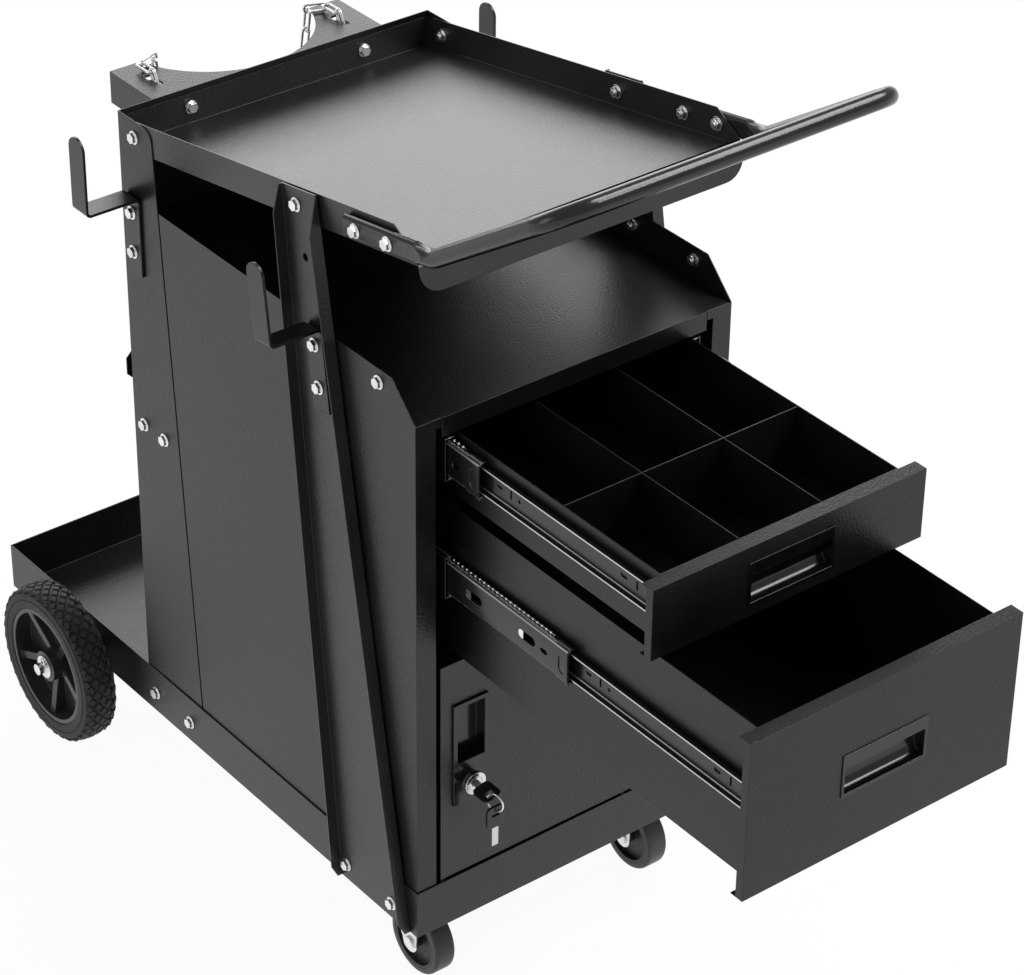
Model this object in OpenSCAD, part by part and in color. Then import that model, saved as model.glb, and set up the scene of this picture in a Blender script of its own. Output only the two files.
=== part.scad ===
// Welding cart: a base pan on two wheels and two casters, a sheet-metal cabinet with two
// drawers on telescopic slides and a locking door, a sloping top tray with a push handle,
// four cable hooks, and a gas bottle bracket with its chain at the rear.
// Millimetres, +Z up, front towards -Y. The origin is on the floor, under the middle of the
// bounding box of the cart with its drawers standing open.

/* [Sheet metal] */
// Thickness of the base pan, the struts and the rear rail
frame_t = 1.5; // [1.2:0.1:1.8]
// Thickness of the cabinet, drawer, door and tray sheet
sheet_t = 1.2; // [1:0.1:1.4]
// Thickness of the hook straps
hook_t = 3; // [2.5:0.5:3.5]
// Thickness of the gas bottle bracket and of the caster plates
plate_t = 2.5; // [2:0.5:3]

/* [Base pan] */
// Outside width of the base pan
body_w = 368; // [352:1:384]
// Outside length of the base pan
pan_l = 744.6; // [720:1:780]
// Height of the pan's side walls
pan_wall_h = 54; // [50:1:58]

/* [Cabinet] */
// Depth of the cabinet, from the pan's front face to the back panel's rear face
cabinet_d = 470.5; // [462:0.5:482]
// Width of the front stiles
stile_w = 22.5; // [20:0.5:25]
// Gap under the door
door_gap = 2.5; // [2:0.5:4]
// Height of the door
door_h = 249.5; // [236:0.5:262]
// Gap between the door and the lower drawer front
lower_front_gap = 3; // [3:0.5:4]
// Height of the lower drawer front
lower_front_h = 165.5; // [158:0.5:174]
// Gap between the two drawer fronts
upper_front_gap = 8.9; // [7:0.1:12]
// Height of the upper drawer front
upper_front_h = 72; // [68:0.5:78]
// Gap between the upper drawer front and the lip of the cabinet top
top_front_gap = 2; // [1.5:0.5:4]
// Height of the front lip of the cabinet top
top_lip_h = 20; // [16:0.5:24]
// Height of the side panels above the cabinet top
side_rise = 35.1; // [30:0.1:40]
// Depth of the chamfer at the front top corner of a side panel
side_chamfer_d = 36.8; // [30:0.1:42]
// Height of the back panel above the side panels
back_rise = 83.2; // [78:0.1:90]
// Width of the back panel's side flanges level with the pan's rim
post_low_w = 100.3; // [92:0.1:108]
// Width of the back panel's side flanges level with the side panels' top
post_high_w = 61.8; // [58:0.1:68]
// Radius of the back panel's upper front corners
post_corner_r = 12; // [8:1:16]
// Width of the visible seam between a side panel and the back panel's flange
seam_w = 2; // [1.5:0.1:3]
// Overlap of a side panel behind the back panel's flange
tab_lap = 12; // [10:1:16]
// Depth of the folded lip behind a stile
stile_lip_d = 10; // [8:1:12]
// Height of the step where a stile meets the lip of the cabinet top
stile_step_h = 9.5; // [7:0.5:12]
// Width of that step
stile_step_w = 7; // [5:0.5:9]

/* [Top tray] */
// Slope of the top tray, rising to the front, in degrees
tray_tilt = 10; // [9:0.5:11]
// Height of the tray rim's line above the back panel, taken at the front of the cabinet
tray_rise = 76.8; // [74:0.1:80]
// Upright height of the tray's side walls
tray_wall_h = 32; // [30:0.5:34]
// Length of the chamfer at the front of the tray's side walls
tray_chamfer_l = 33; // [28:1:38]
// Height of the side walls left at their front end
tray_nose_h = 8; // [6:0.5:10]
// Depth of the apron in front of the tray
apron_h = 28; // [26:0.5:31]
// Radius of the apron's lower corners
apron_r = 22; // [18:1:24]
// Outside radius of the fold between the tray and its apron
apron_fold_r = 4; // [3:0.5:5]

/* [Struts] */
// Distance of a strut's foot behind the pan's front face
strut_foot_y = 11.7; // [8:0.1:15]
// Width of a strut at its foot
strut_foot_w = 111.9; // [104:0.1:120]
// Distance of a strut's head behind the pan's front face
strut_head_y = 141.9; // [134:0.1:148]
// Width of a strut at its head
strut_head_w = 54.4; // [50:0.1:60]
// Width of the flanges along a strut
strut_flange_w = 12.8; // [10:0.1:16]
// Length of the chamfers at the top of the strut flanges
strut_chamfer_h = 26; // [20:1:32]
// Diameter of the free hole near the head of a strut
strut_hole_d = 7.5; // [5:0.5:9]
// Distance of that hole below the strut's upper bolt
strut_hole_drop = 48; // [40:1:54]

/* [Hooks] */
// Width of the hook straps
hook_w = 25; // [22:1:28]
// Height of the hooks' arms above the cabinet top
hook_arm_rise = 38.6; // [34:0.1:42]
// Length of the mounting leg of a hook
hook_leg_l = 86; // [80:1:92]
// Height of a hook's tip above the top of its arm
hook_tip_h = 78; // [70:1:84]
// Distance of the hooks' outer faces from the middle of the cart
hook_reach = 243; // [240:1:247]
// Inside radius of the bends in a hook
hook_bend_r = 3; // [2:0.5:4]
// Distance of the upper hook bolt below the arm
hook_bolt_drop = 19.5; // [17:0.5:22]
// Distance between the two bolts of a hook
hook_bolt_pitch = 42.5; // [38:0.5:46]
// Distance of the rear hooks' middle in front of the back panel's rear face
rear_hook_y = 21; // [18:1:24]
// Distance of the front hooks' middle behind the pan's front face
front_hook_y = 147; // [143:0.5:153]

/* [Handle] */
// Diameter of the handle tube
handle_d = 17; // [15:0.5:19]
// Thickness of the handle's flattened ends
handle_flat_t = 8.5; // [7:0.5:10]
// Length of a flattened end behind the pan's front face
handle_flat_l = 95; // [88:1:102]
// Distance in front of the pan's front face where the handle turns upwards
handle_bend_y = 30; // [26:1:34]
// Distance of the crossbar in front of the pan's front face
handle_reach = 196; // [184:1:208]
// Height of the crossbar above the bends
handle_rise = 112; // [101:0.1:123]
// Centre line radius of the handle's upper corners
handle_corner_r = 34; // [28:1:42]
// Centre line radius of the handle's lower bends
handle_bend_r = 34; // [28:1:40]
// Distance of the handle's rear bolts behind the pan's front face
handle_bolt_y = 77; // [72:1:82]
// Distance between the two bolts of a handle end
handle_bolt_pitch = 47; // [42:1:52]

/* [Drawers] */
// Width of the drawer fronts and of the door
front_w = 310; // [306:1:312]
// Depth of the folded lips behind a drawer front and of the door
front_d = 15; // [13:0.5:17]
// Outside width of the drawer boxes
box_w = 270; // [264:1:270]
// Length of the drawer boxes
box_l = 438; // [420:1:440]
// Height of the drawer fronts' lower edge under the boxes' floor
box_floor_rise = 4; // [3:0.5:6]
// Distance of the lower box's top edge below its front's top edge
lower_box_drop = 1; // [0.5:0.5:6]
// Distance that the upper drawer stands open
upper_open = 291.5; // [280:0.5:300]
// Distance that the lower drawer stands open
lower_open = 419.7; // [410:0.1:430]
// Spacing of the two lengthwise dividers
divider_pitch = 93.4; // [84:0.1:100]
// Distance of the cross divider behind the drawer front
divider_cross_y = 144.5; // [120:0.5:180]

/* [Slides] */
// Length of the telescopic slides
slide_l = 450; // [440:1:452]
// Travel of a drawer member along its middle member
slide_stage = 246; // [240:1:250]
// Width of a slide, from the drawer box to its bracket
slide_w = 13; // [12.6:0.1:13.4]
// Height of the fixed member
slide_outer_h = 45; // [44:0.5:46]
// Height of the middle member
slide_mid_h = 36; // [35.5:0.5:36.5]
// Height of the drawer member
slide_inner_h = 28; // [27:0.5:28.5]
// Thickness of the slide members
slide_t = 1.4; // [1.2:0.1:1.5]
// Height of the upper slides' centre line above the upper front's lower edge
upper_slide_rise = 45.9; // [44:0.1:47]
// Height of the lower slides' centre line above the lower front's lower edge
lower_slide_rise = 93; // [86:0.5:100]
// Height of the brackets that carry the slides
slide_bracket_h = 58; // [56:1:60]
// Length of the brackets that carry the slides
slide_bracket_l = 350; // [330:1:356]

/* [Pulls] */
// Width of the recessed pulls in the drawer fronts
pull_w = 98; // [92:1:104]
// Height of the recessed pulls
pull_h = 44.5; // [41:0.5:47]
// Width of the frame round a pull
pull_rim_w = 3.5; // [3:0.5:4.5]
// Depth of the finger cup behind a pull
pull_cup_d = 12.5; // [11:0.5:13]
// Height of the hood over the finger cup
pull_hood_h = 11; // [9:0.5:13]
// Height of the upper pull's middle above the upper front's lower edge
upper_pull_rise = 33.6; // [31:0.1:36]
// Height of the lower pull's middle above the lower front's lower edge
lower_pull_rise = 82; // [74:0.5:90]

/* [Door furniture] */
// Distance of the handle plate's left edge from the door's left edge
plate_edge = 13.6; // [11:0.1:17]
// Width of the door's handle plate
plate_w = 41.3; // [39:0.1:45]
// Height of the door's handle plate
plate_h = 117.6; // [112:0.1:124]
// Height of the handle plate above the door's lower edge
plate_rise = 83.5; // [76:0.5:92]
// Distance that the handle plate stands proud of the door
plate_proud = 2.5; // [2:0.5:3]
// Height of the handle plate's recess
recess_h = 66; // [60:1:72]
// Depth of the recess behind the door's face
recess_d = 12; // [10:0.5:13]
// Diameter of the lock's ring
lock_ring_d = 24; // [22:0.5:26]
// Diameter of the lock's barrel
lock_barrel_d = 19; // [18:0.5:20]
// Diameter of the lock's plug
lock_plug_d = 15; // [14:0.5:15.5]
// Length of the lock's latch from the middle of the lock
latch_l = 54; // [50:1:56]
// Angle of the key in the lock, in degrees
key_angle = 15; // [0:5:20]

/* [Keys] */
// Width of a key's bow
bow_w = 20; // [18:0.5:22]
// Length of a key's bow
bow_l = 24; // [22:0.5:26]
// Thickness of a key's bow
bow_t = 3; // [2.6:0.1:3.4]
// Thickness of a key's blade
blade_t = 2; // [1.8:0.1:2.2]
// Width of a key's blade
blade_w = 7.5; // [7:0.5:8]
// Length of a key's blade
blade_l = 22; // [20:1:24]
// Mean radius of the key ring
ring_r = 9.5; // [9.2:0.1:9.8]
// Wire diameter of the key ring
ring_wire_d = 1.8; // [1.6:0.1:2]

/* [Gas bottle bracket] */
// Distance of the bracket's top below the back panel's top edge
bracket_drop = 8.3; // [6:0.1:10]
// Width of the bracket
bracket_w = 271; // [262:1:280]
// Depth of the bracket behind the back panel
bracket_d = 88.5; // [84:0.5:94]
// Height of the bracket's side flanges
bracket_flange_h = 34; // [30:1:38]
// Radius of the bottle's cut-out
cradle_r = 104; // [100:1:108]
// Distance of the cut-out's centre behind the back panel
cradle_y = 115.5; // [113:0.5:118]
// Distance of the keyholes from the bracket's side edges
keyhole_edge = 25.5; // [23:0.5:27]
// Distance of the keyholes behind the back panel
keyhole_y = 53.5; // [50:0.5:57]
// Diameter of the round end of a keyhole
keyhole_d = 12; // [11:0.5:13]
// Width of the slot of a keyhole
keyhole_slot_w = 5; // [4.6:0.2:5.4]
// Length of the slot of a keyhole
keyhole_slot_l = 18; // [16:1:20]
// Height of the rear rail's middle above the pan's rim
rail_rise = 357; // [340:1:374]
// Height of the rear rail
rail_h = 34; // [30:1:38]
// Depth of the rear rail
rail_d = 8; // [6:0.5:10]

/* [Chain] */
// Wire diameter of the chain
chain_wire_d = 3; // [2.8:0.1:3.1]
// Pitch of the chain
chain_pitch = 20; // [19.5:0.5:21]
// Outside width of a chain link
chain_w = 11; // [10.8:0.2:11.6]
// Angle by which the chain turns inwards behind a keyhole, in degrees
chain_turn = 70; // [66:1:74]
// Number of links in the hanging chain
chain_links = 27; // [25:2:29]

/* [Rear wheels] */
// Diameter of the rear wheels
wheel_d = 178; // [172:1:184]
// Width of the rear tyres
wheel_w = 38; // [36:0.5:40]
// Gap between the base pan and a rear tyre
wheel_gap = 9.5; // [8:0.5:11]
// Distance of the rear axle behind the pan's front face
axle_y = 604; // [590:1:618]
// Diameter of the rear axle
axle_d = 12.7; // [12:0.1:13.4]
// Gap between the rear axle and the underside of the pan
axle_gap = 1.65; // [1:0.05:3]
// Diameter of the rear rims
rim_d = 132; // [126:1:136]
// Thickness of the rims' outer ring
rim_ring_t = 5; // [4:0.5:6]
// Distance of the rims' web from their outer edge
rim_dish = 20; // [17:0.5:22]
// Thickness of the rims' web
rim_web_t = 4; // [3:0.5:5]
// Diameter of the rims' hubs
hub_d = 35; // [32:0.5:38]
// Number of ribs in a rim
rib_count = 5; // [4:1:6]
// Thickness of the ribs
rib_t = 9; // [7:0.5:11]

/* [Casters] */
// Diameter of the caster wheels
caster_d = 76; // [73:1:78]
// Width of the caster wheels
caster_w = 23.3; // [22:0.1:24.5]
// Distance of the casters' swivel axes from the middle of the cart
caster_x = 135.5; // [128:0.5:142]
// Distance of the swivel axes behind the pan's front face
swivel_y = 84; // [78:1:90]
// Trail of the caster wheels
caster_trail = 28; // [25:1:30]
// Width of the caster plates
caster_plate_w = 62; // [58:1:66]
// Length of the caster plates
caster_plate_l = 72; // [68:1:76]
// Diameter of the swivel bearings
race_d = 38; // [35:1:41]
// Diameter of the kingpins
kingpin_d = 10; // [9:0.5:11]
// Diameter of the caster axles
caster_axle_d = 8; // [7:0.5:9]
// Thickness of the caster treads
tread_t = 7; // [6:0.5:8]

/* [Fasteners] */
// Shank diameter of the bolts
bolt_d = 6; // [5:0.5:6.5]
// Flange diameter of the bolt heads
bolt_flange_d = 14; // [12:0.5:14.5]
// Height of the bolt heads
bolt_head_h = 5; // [4:0.5:6]
// Height of the nuts
nut_h = 5; // [4:0.5:6]

/* [Hidden] */
$fn = 48;

black = [0.11, 0.11, 0.12];
zinc = [0.78, 0.79, 0.80];
rubber = [0.16, 0.16, 0.16];
grey = [0.55, 0.55, 0.56];

// Clearances: a turning fit, a bolt in its hole, a hair gap, and the overshoot of a cut
fit = 0.05;
bolt_play = 0.15;
hair = 0.3;
over = 1;

// Planes across the cart, from the middle outwards, on the +X side
tab_x = body_w / 2 - frame_t - 2 * sheet_t;
liner_x = tab_x + sheet_t;
cab_x = liner_x + sheet_t;
pan_x = cab_x + frame_t;
strut_x = pan_x + frame_t;
opening_x = cab_x - stile_w;
front_x = front_w / 2;
box_x = box_w / 2;
slide_x = box_x + slide_w;

// Planes along the cart, from the pan's front face to the rear
face_y = frame_t;
inner_y = face_y + sheet_t;
back_y = cabinet_d;
back_in_y = back_y - sheet_t;
bracket_y = back_y + plate_t;
lower_face_y = face_y - lower_open;
middle_y = (pan_l + lower_face_y - sheet_t) / 2;

// Heights above the floor
pan_z = wheel_d / 2 + axle_d / 2 + axle_gap;
pan_top = pan_z + pan_wall_h;
floor_z = pan_z + frame_t;
door_z = pan_top + door_gap;
door_top = door_z + door_h;
lower_z = door_top + lower_front_gap;
lower_top = lower_z + lower_front_h;
upper_z = lower_top + upper_front_gap;
upper_top = upper_z + upper_front_h;
shelf_z = upper_top + top_front_gap + top_lip_h;
side_top = shelf_z + side_rise;
back_top = side_top + back_rise;
bracket_z = back_top - bracket_drop;
hook_z = shelf_z + hook_arm_rise;
upper_slide_z = upper_z + upper_slide_rise;
lower_slide_z = lower_z + lower_slide_rise;

// Lines on the sides of the cart
function between(low, high, share) = low + (high - low) * share;
function tray_top(y) = back_top + tray_rise - tan(tray_tilt) * y;
function tray_under(y) = tray_top(y) - tray_wall_h;
function post_y(z) = back_y - between(post_low_w, post_high_w, (z - pan_top) / (side_top - pan_top));
strut_head_z = tray_top(strut_head_y);
function strut_front(z) = between(strut_foot_y, strut_head_y, (z - pan_z) / (strut_head_z - pan_z));
function strut_rear(z) = between(strut_foot_y + strut_foot_w, strut_head_y + strut_head_w,
                                 (z - pan_z) / (strut_head_z - pan_z));
function arc(cy, cz, r, from, to, steps = 8) =
    [for (i = [0 : steps]) [cy + r * cos(between(from, to, i / steps)),
                            cz + r * sin(between(from, to, i / steps))]];

// The whole cart stands with its bounding box centred over the origin
module placed() {
    translate([0, -middle_y, 0]) children();
}

// An outline in Y and Z, drawn out from x0 to x1
module across(x0, x1) {
    translate([x0, 0, 0]) rotate([90, 0, 90]) linear_extrude(x1 - x0) children();
}

// An outline in X and Z, drawn out from y0 to y1
module along(y0, y1) {
    translate([0, y1, 0]) rotate([90, 0, 0]) linear_extrude(y1 - y0) children();
}

// A box between two opposite corners
module block(low, high) {
    translate(low) cube([for (i = [0 : 2]) high[i] - low[i]]);
}

// A rod along X from x0 to x1 at the given place in Y and Z
module rod_x(x0, x1, y, z, d) {
    translate([x0, y, z]) rotate([0, 90, 0]) cylinder(h = x1 - x0, d = d);
}

module to_side(side) {
    mirror([side == "left" ? 1 : 0, 0, 0]) children();
}

module both_sides() {
    to_side("left") children();
    to_side("right") children();
}

// Bolts through the sides: height, distance from the front, outer face and inner face.
// They are listed from the pan up to the tray.
pan_bolt_rise = 24.5;
side_bolt_z = pan_z + pan_bolt_rise;
function strut_mid(z, share) = between(strut_front(z), strut_rear(z), share);
function tray_bolt(y) = [y, tray_top(y) - tray_wall_h / 2];
hook_bolt_drops = [hook_bolt_drop, hook_bolt_drop + hook_bolt_pitch];
hook_lean = atan((strut_head_y + strut_head_w / 2 - strut_foot_y - strut_foot_w / 2)
                 / (strut_head_z - pan_z));
rear_bolt_inset = 15.5;
rear_bolt_y = back_y - rear_bolt_inset;
rear_bolt_step = 64;
rail_bolt_inset = 19;
rail_bolt_y = back_y - rail_bolt_inset;
rail_bolt_step = 36;
rail_bolt_rise = 302;
rail_bolt_z = pan_top + rail_bolt_rise;
strut_foot_share = 0.22;
strut_foot_far_share = 0.89;
strut_head_share = 0.55;
foot_bolt_rise = 18.5;
foot_bolt_z = pan_z + foot_bolt_rise;
strut_bolt = tray_bolt(strut_mid(strut_head_z, strut_head_share));
stay_bolt_y = 55;
stay_bolt_drop = 13.5;
stay_bolt_z = side_top - stay_bolt_drop;
tray_bolt_inset = 27.5;
back_tray_bolt = tray_bolt(back_y - tray_bolt_inset);
pan_bolts = [for (i = [0, 1]) [rear_bolt_y - i * rear_bolt_step, side_bolt_z, pan_x, tab_x]];
rail_bolts = [for (i = [0, 1]) [rail_bolt_y - i * rail_bolt_step, rail_bolt_z, cab_x, tab_x]];
foot_bolts = [for (s = [strut_foot_share, strut_foot_far_share])
              [strut_mid(foot_bolt_z, s), foot_bolt_z, strut_x, liner_x]];
rear_hook_bolts = [for (d = hook_bolt_drops) [back_y - rear_hook_y, hook_z - d, cab_x + hook_t, tab_x]];
front_hook_bolts = [for (d = hook_bolt_drops) [front_hook_y - d * sin(hook_lean),
                                              hook_z - d * cos(hook_lean), strut_x + hook_t, liner_x]];
tray_bolts = [[back_tray_bolt[0], back_tray_bolt[1], cab_x, tab_x],
              [strut_bolt[0], strut_bolt[1], strut_x, tab_x]];
handle_bolts = [for (y = [handle_bolt_y, handle_bolt_y - handle_bolt_pitch])
                [tray_bolt(y)[0], tray_bolt(y)[1], liner_x + handle_flat_t, tab_x]];
stay_bolts = [[stay_bolt_y, stay_bolt_z, cab_x, liner_x]];
side_bolts = concat(pan_bolts, rail_bolts, foot_bolts, rear_hook_bolts, front_hook_bolts,
                    tray_bolts, handle_bolts, stay_bolts);

// Holes for all the side bolts, through every sheet between their two faces
module side_bolt_holes() {
    for (b = side_bolts)
        rod_x(b[3] - hair, b[2] + hair, b[0], b[1], bolt_d + 2 * bolt_play);
}

// A flanged hexagon bolt along -Z with its head's seat at the origin, and its nut
module bolt(grip) {
    flange_t = bolt_head_h / 4;
    cylinder(h = flange_t, d = bolt_flange_d);
    cylinder(h = bolt_head_h, d = 0.8 * bolt_flange_d, $fn = 6);
    translate([0, 0, -grip - nut_h - bolt_d / 4]) cylinder(h = grip + nut_h + bolt_d / 4, d = bolt_d);
    translate([0, 0, -grip - flange_t]) cylinder(h = flange_t, d = bolt_flange_d);
    translate([0, 0, -grip - nut_h]) cylinder(h = nut_h, d = 0.8 * bolt_flange_d, $fn = 6);
}

// Bolts across the rear wall of the tray, which also carry the gas bottle bracket
back_bolt_x = 102;
back_bolt_drop = 11.5;
back_bolt_z = bracket_z - back_bolt_drop;
module back_bolt_holes() {
    for (x = [-back_bolt_x, back_bolt_x])
        translate([x, bracket_y + over, back_bolt_z]) rotate([90, 0, 0])
            cylinder(h = plate_t + 2 * sheet_t + 2 * over, d = bolt_d + 2 * bolt_play);
}

// Bolts through the pan's floor, four on each caster plate, and the place of the axle brackets
caster_bolt_inset = 9;
axle_bracket_l = 60;
axle_bracket_w = 34;
axle_bracket_inset = 20;
axle_bracket_x = pan_x - axle_bracket_inset;
caster_bolt_places = [for (x = [-1, 1], y = [-1, 1])
    [caster_x + x * (caster_plate_w / 2 - caster_bolt_inset),
     swivel_y + y * (caster_plate_l / 2 - caster_bolt_inset)]];
module floor_bolt_holes() {
    both_sides() for (p = caster_bolt_places)
        translate([p[0], p[1], pan_z - plate_t - hair])
            cylinder(h = plate_t + frame_t + 2 * hair, d = bolt_d + 2 * bolt_play);
}

// Base pan: a folded tray that carries the cabinet and the gas bottle
module base_pan() {
    color(black) placed() difference() {
        block([-pan_x, 0, pan_z], [pan_x, pan_l, pan_top]);
        block([-cab_x, frame_t, floor_z], [cab_x, pan_l - frame_t, pan_top + over]);
        both_sides() side_bolt_holes();
        floor_bolt_holes();
    }
}

// The outline of a back panel flange, with its front edge tapering upwards
module post_outline() {
    lean = atan((post_y(pan_top) - post_y(back_top)) / (back_top - pan_top));
    corner_z = back_top - post_corner_r;
    corner_y = post_y(corner_z) + post_corner_r / cos(lean);
    polygon(concat([[back_y, floor_z], [back_y, back_top]],
                   arc(corner_y, corner_z, post_corner_r, 90, 180 + lean),
                   [[post_y(floor_z), floor_z]]));
}

// Back panel: one sheet folded forward on both sides, from the pan's floor to above the tray
module back_panel() {
    color(black) placed() difference() {
        union() {
            block([-cab_x, back_in_y, floor_z], [cab_x, back_y, back_top]);
            both_sides() across(liner_x, cab_x) post_outline();
        }
        both_sides() side_bolt_holes();
        back_bolt_holes();
    }
}

// Rear rail: a shallow channel across the back panel that steadies the bottle and its chain
module back_rail() {
    low = pan_top + rail_rise - rail_h / 2;
    high = low + rail_h;
    far = back_y + rail_d;
    color(black) placed() intersection() {
        across(-pan_x, pan_x)
            polygon([[back_y, low], [far, low], [far, high], [back_y, high],
                     [back_y, high - frame_t], [far - frame_t, high - frame_t],
                     [far - frame_t, low + frame_t], [back_y, low + frame_t]]);
        along(back_y, far)
            polygon([[-pan_x + rail_d, low], [pan_x - rail_d, low], [pan_x, low + rail_d],
                     [pan_x, high - rail_d], [pan_x - rail_d, high], [-pan_x + rail_d, high],
                     [-pan_x, high - rail_d], [-pan_x, low + rail_d]]);
    }
}

// Side panel: sheet, front stile with its folded lip, and a rear tab set in behind the flange
module side_panel(side) {
    color(black) placed() to_side(side) difference() {
        union() {
            across(liner_x, cab_x)
                polygon([[face_y, floor_z], [post_y(floor_z) - seam_w, floor_z],
                         [post_y(side_top) - seam_w, side_top], [side_chamfer_d, side_top],
                         [face_y, shelf_z]]);
            across(tab_x, liner_x)
                polygon([[post_y(floor_z) - seam_w - tab_lap, floor_z], [back_in_y - hair, floor_z],
                         [back_in_y - hair, side_top], [post_y(side_top) - seam_w - tab_lap, side_top]]);
            block([opening_x, face_y, floor_z], [cab_x, inner_y, shelf_z]);
            block([opening_x, inner_y, floor_z],
                  [opening_x + sheet_t, inner_y + stile_lip_d, shelf_z - top_lip_h - hair]);
            block([opening_x - stile_step_w, face_y, shelf_z - stile_step_h],
                  [opening_x, inner_y, shelf_z]);
        }
        side_bolt_holes();
    }
}

module left_side_panel() {
    side_panel("left");
}

module right_side_panel() {
    side_panel("right");
}

// Cabinet top: a flat sheet with a lip over the upper drawer and two rims down the sides
module cabinet_top() {
    lip_x = opening_x - stile_step_w - hair;
    rim_h = top_lip_h / 2;
    under = shelf_z - sheet_t;
    color(black) placed() {
        block([-tab_x, inner_y, under], [tab_x, back_in_y, shelf_z]);
        block([-lip_x, face_y, under], [lip_x, inner_y, shelf_z]);
        block([-lip_x, face_y, shelf_z - top_lip_h], [lip_x, inner_y, under]);
        both_sides() block([tab_x - sheet_t, inner_y + stile_lip_d + hair, shelf_z - rim_h],
                           [tab_x, back_in_y, under]);
    }
}

// Door rail: the shelf between the door's space and the lower drawer, with a lip as door stop
front_play = 2.5;
rail_front_y = face_y + front_d + front_play;
module door_rail() {
    color(black) placed() {
        block([-tab_x, rail_front_y, door_top], [tab_x, back_in_y, door_top + sheet_t]);
        block([-tab_x, rail_front_y, door_top - front_d], [tab_x, rail_front_y + sheet_t, door_top]);
        both_sides() block([tab_x - sheet_t, rail_front_y + sheet_t, door_top - front_d],
                           [tab_x, back_in_y, door_top]);
    }
}

// Slide brackets: a channel on each side panel for each slide, relieved round the nuts there
slide_y = face_y + front_play;
slide_bracket_y = rail_front_y;
module slide_bracket(z) {
    low = z - slide_bracket_h / 2;
    high = z + slide_bracket_h / 2;
    foot = front_d / 2;
    along(slide_bracket_y, slide_bracket_y + slide_bracket_l)
        polygon([[slide_x, low], [liner_x - sheet_t, low], [liner_x - sheet_t, low - foot],
                 [liner_x, low - foot], [liner_x, low + sheet_t], [slide_x + sheet_t, low + sheet_t],
                 [slide_x + sheet_t, high - sheet_t], [liner_x, high - sheet_t],
                 [liner_x, high + foot], [liner_x - sheet_t, high + foot],
                 [liner_x - sheet_t, high], [slide_x, high]]);
}

module slide_brackets() {
    color(black) placed() both_sides() difference() {
        union() {
            slide_bracket(upper_slide_z);
            slide_bracket(lower_slide_z);
        }
        for (b = side_bolts) rod_x(b[3] - 2 * nut_h, b[3] + hair, b[0], b[1], bolt_flange_d + 4 * hair);
    }
}

// Top tray: sloping floor, side walls chamfered at the front, upright rear wall, and an apron
module top_tray() {
    wall_y = back_in_y;
    color(black) placed() difference() {
        union() {
            across(-liner_x, liner_x)
                polygon([[0, tray_under(0)], [wall_y, tray_under(wall_y)],
                         [wall_y, tray_under(wall_y) + sheet_t / cos(tray_tilt)],
                         [0, tray_under(0) + sheet_t / cos(tray_tilt)]]);
            both_sides() across(tab_x, liner_x)
                polygon([[0, tray_under(0)], [wall_y, tray_under(wall_y)],
                         [wall_y, tray_top(wall_y)], [tray_chamfer_l, tray_top(tray_chamfer_l)],
                         [0, tray_under(0) + tray_nose_h]]);
            block([-liner_x, wall_y - sheet_t, tray_under(wall_y)],
                  [liner_x, wall_y, tray_top(wall_y)]);
            translate([0, 0, tray_under(0)]) rotate([-tray_tilt, 0, 0]) tray_apron();
        }
        both_sides() side_bolt_holes();
        back_bolt_holes();
    }
}

// The apron, square to the tray's floor, with the rolled edge that joins them
module tray_apron() {
    fold = apron_fold_r;
    across(-liner_x, liner_x)
        polygon(concat(arc(0, sheet_t - fold, fold, 90, 180), arc(0, sheet_t - fold, fold - sheet_t, 180, 90)));
    along(-fold, sheet_t - fold)
        polygon(concat([[-liner_x, sheet_t - fold], [liner_x, sheet_t - fold]],
                       arc(liner_x - apron_r, apron_r - apron_h, apron_r, 0, -90),
                       arc(apron_r - liner_x, apron_r - apron_h, apron_r, -90, -180)));
}

// Strut: a leaning web from the pan to the tray, with a flange along each edge
module strut(side) {
    flange_x = pan_x + strut_flange_w;
    top = strut_head_z;
    head_rear = strut_rear(tray_top(strut_head_y + strut_head_w));
    head_rear_z = tray_top(head_rear);
    color(black) placed() to_side(side) difference() {
        union() {
            across(pan_x, strut_x)
                polygon([[strut_foot_y, pan_z], [strut_foot_y + strut_foot_w, pan_z],
                         [head_rear, head_rear_z], [strut_head_y, top]]);
            intersection() {
                across(pan_x, flange_x) {
                    polygon([[strut_foot_y, pan_z], [strut_foot_y + frame_t, pan_z],
                             [strut_head_y + frame_t, top], [strut_head_y, top]]);
                    polygon([[strut_foot_y + strut_foot_w - frame_t, pan_z],
                             [strut_foot_y + strut_foot_w, pan_z], [head_rear, head_rear_z],
                             [head_rear - frame_t, head_rear_z]]);
                }
                along(0, pan_l)
                    polygon([[pan_x, pan_z], [flange_x - strut_flange_w / 2, pan_z],
                             [flange_x, pan_z + strut_flange_w],
                             [flange_x, head_rear_z - strut_chamfer_h], [strut_x, top], [pan_x, top]]);
            }
        }
        side_bolt_holes();
        rod_x(pan_x - over, strut_x + over, strut_bolt[0] - strut_hole_drop / 4,
              strut_bolt[1] - strut_hole_drop, strut_hole_d);
    }
}

module left_strut() {
    strut("left");
}

module right_strut() {
    strut("right");
}

// Spacers that fill the play between the struts and the sheets behind them
spacer_d = bolt_flange_d;
module strut_spacers() {
    color(zinc) placed() both_sides() difference() {
        union() {
            rod_x(liner_x, pan_x, strut_bolt[0], strut_bolt[1], spacer_d);
            for (b = front_hook_bolts) rod_x(cab_x, pan_x, b[0], b[1], spacer_d);
        }
        side_bolt_holes();
    }
}

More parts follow.
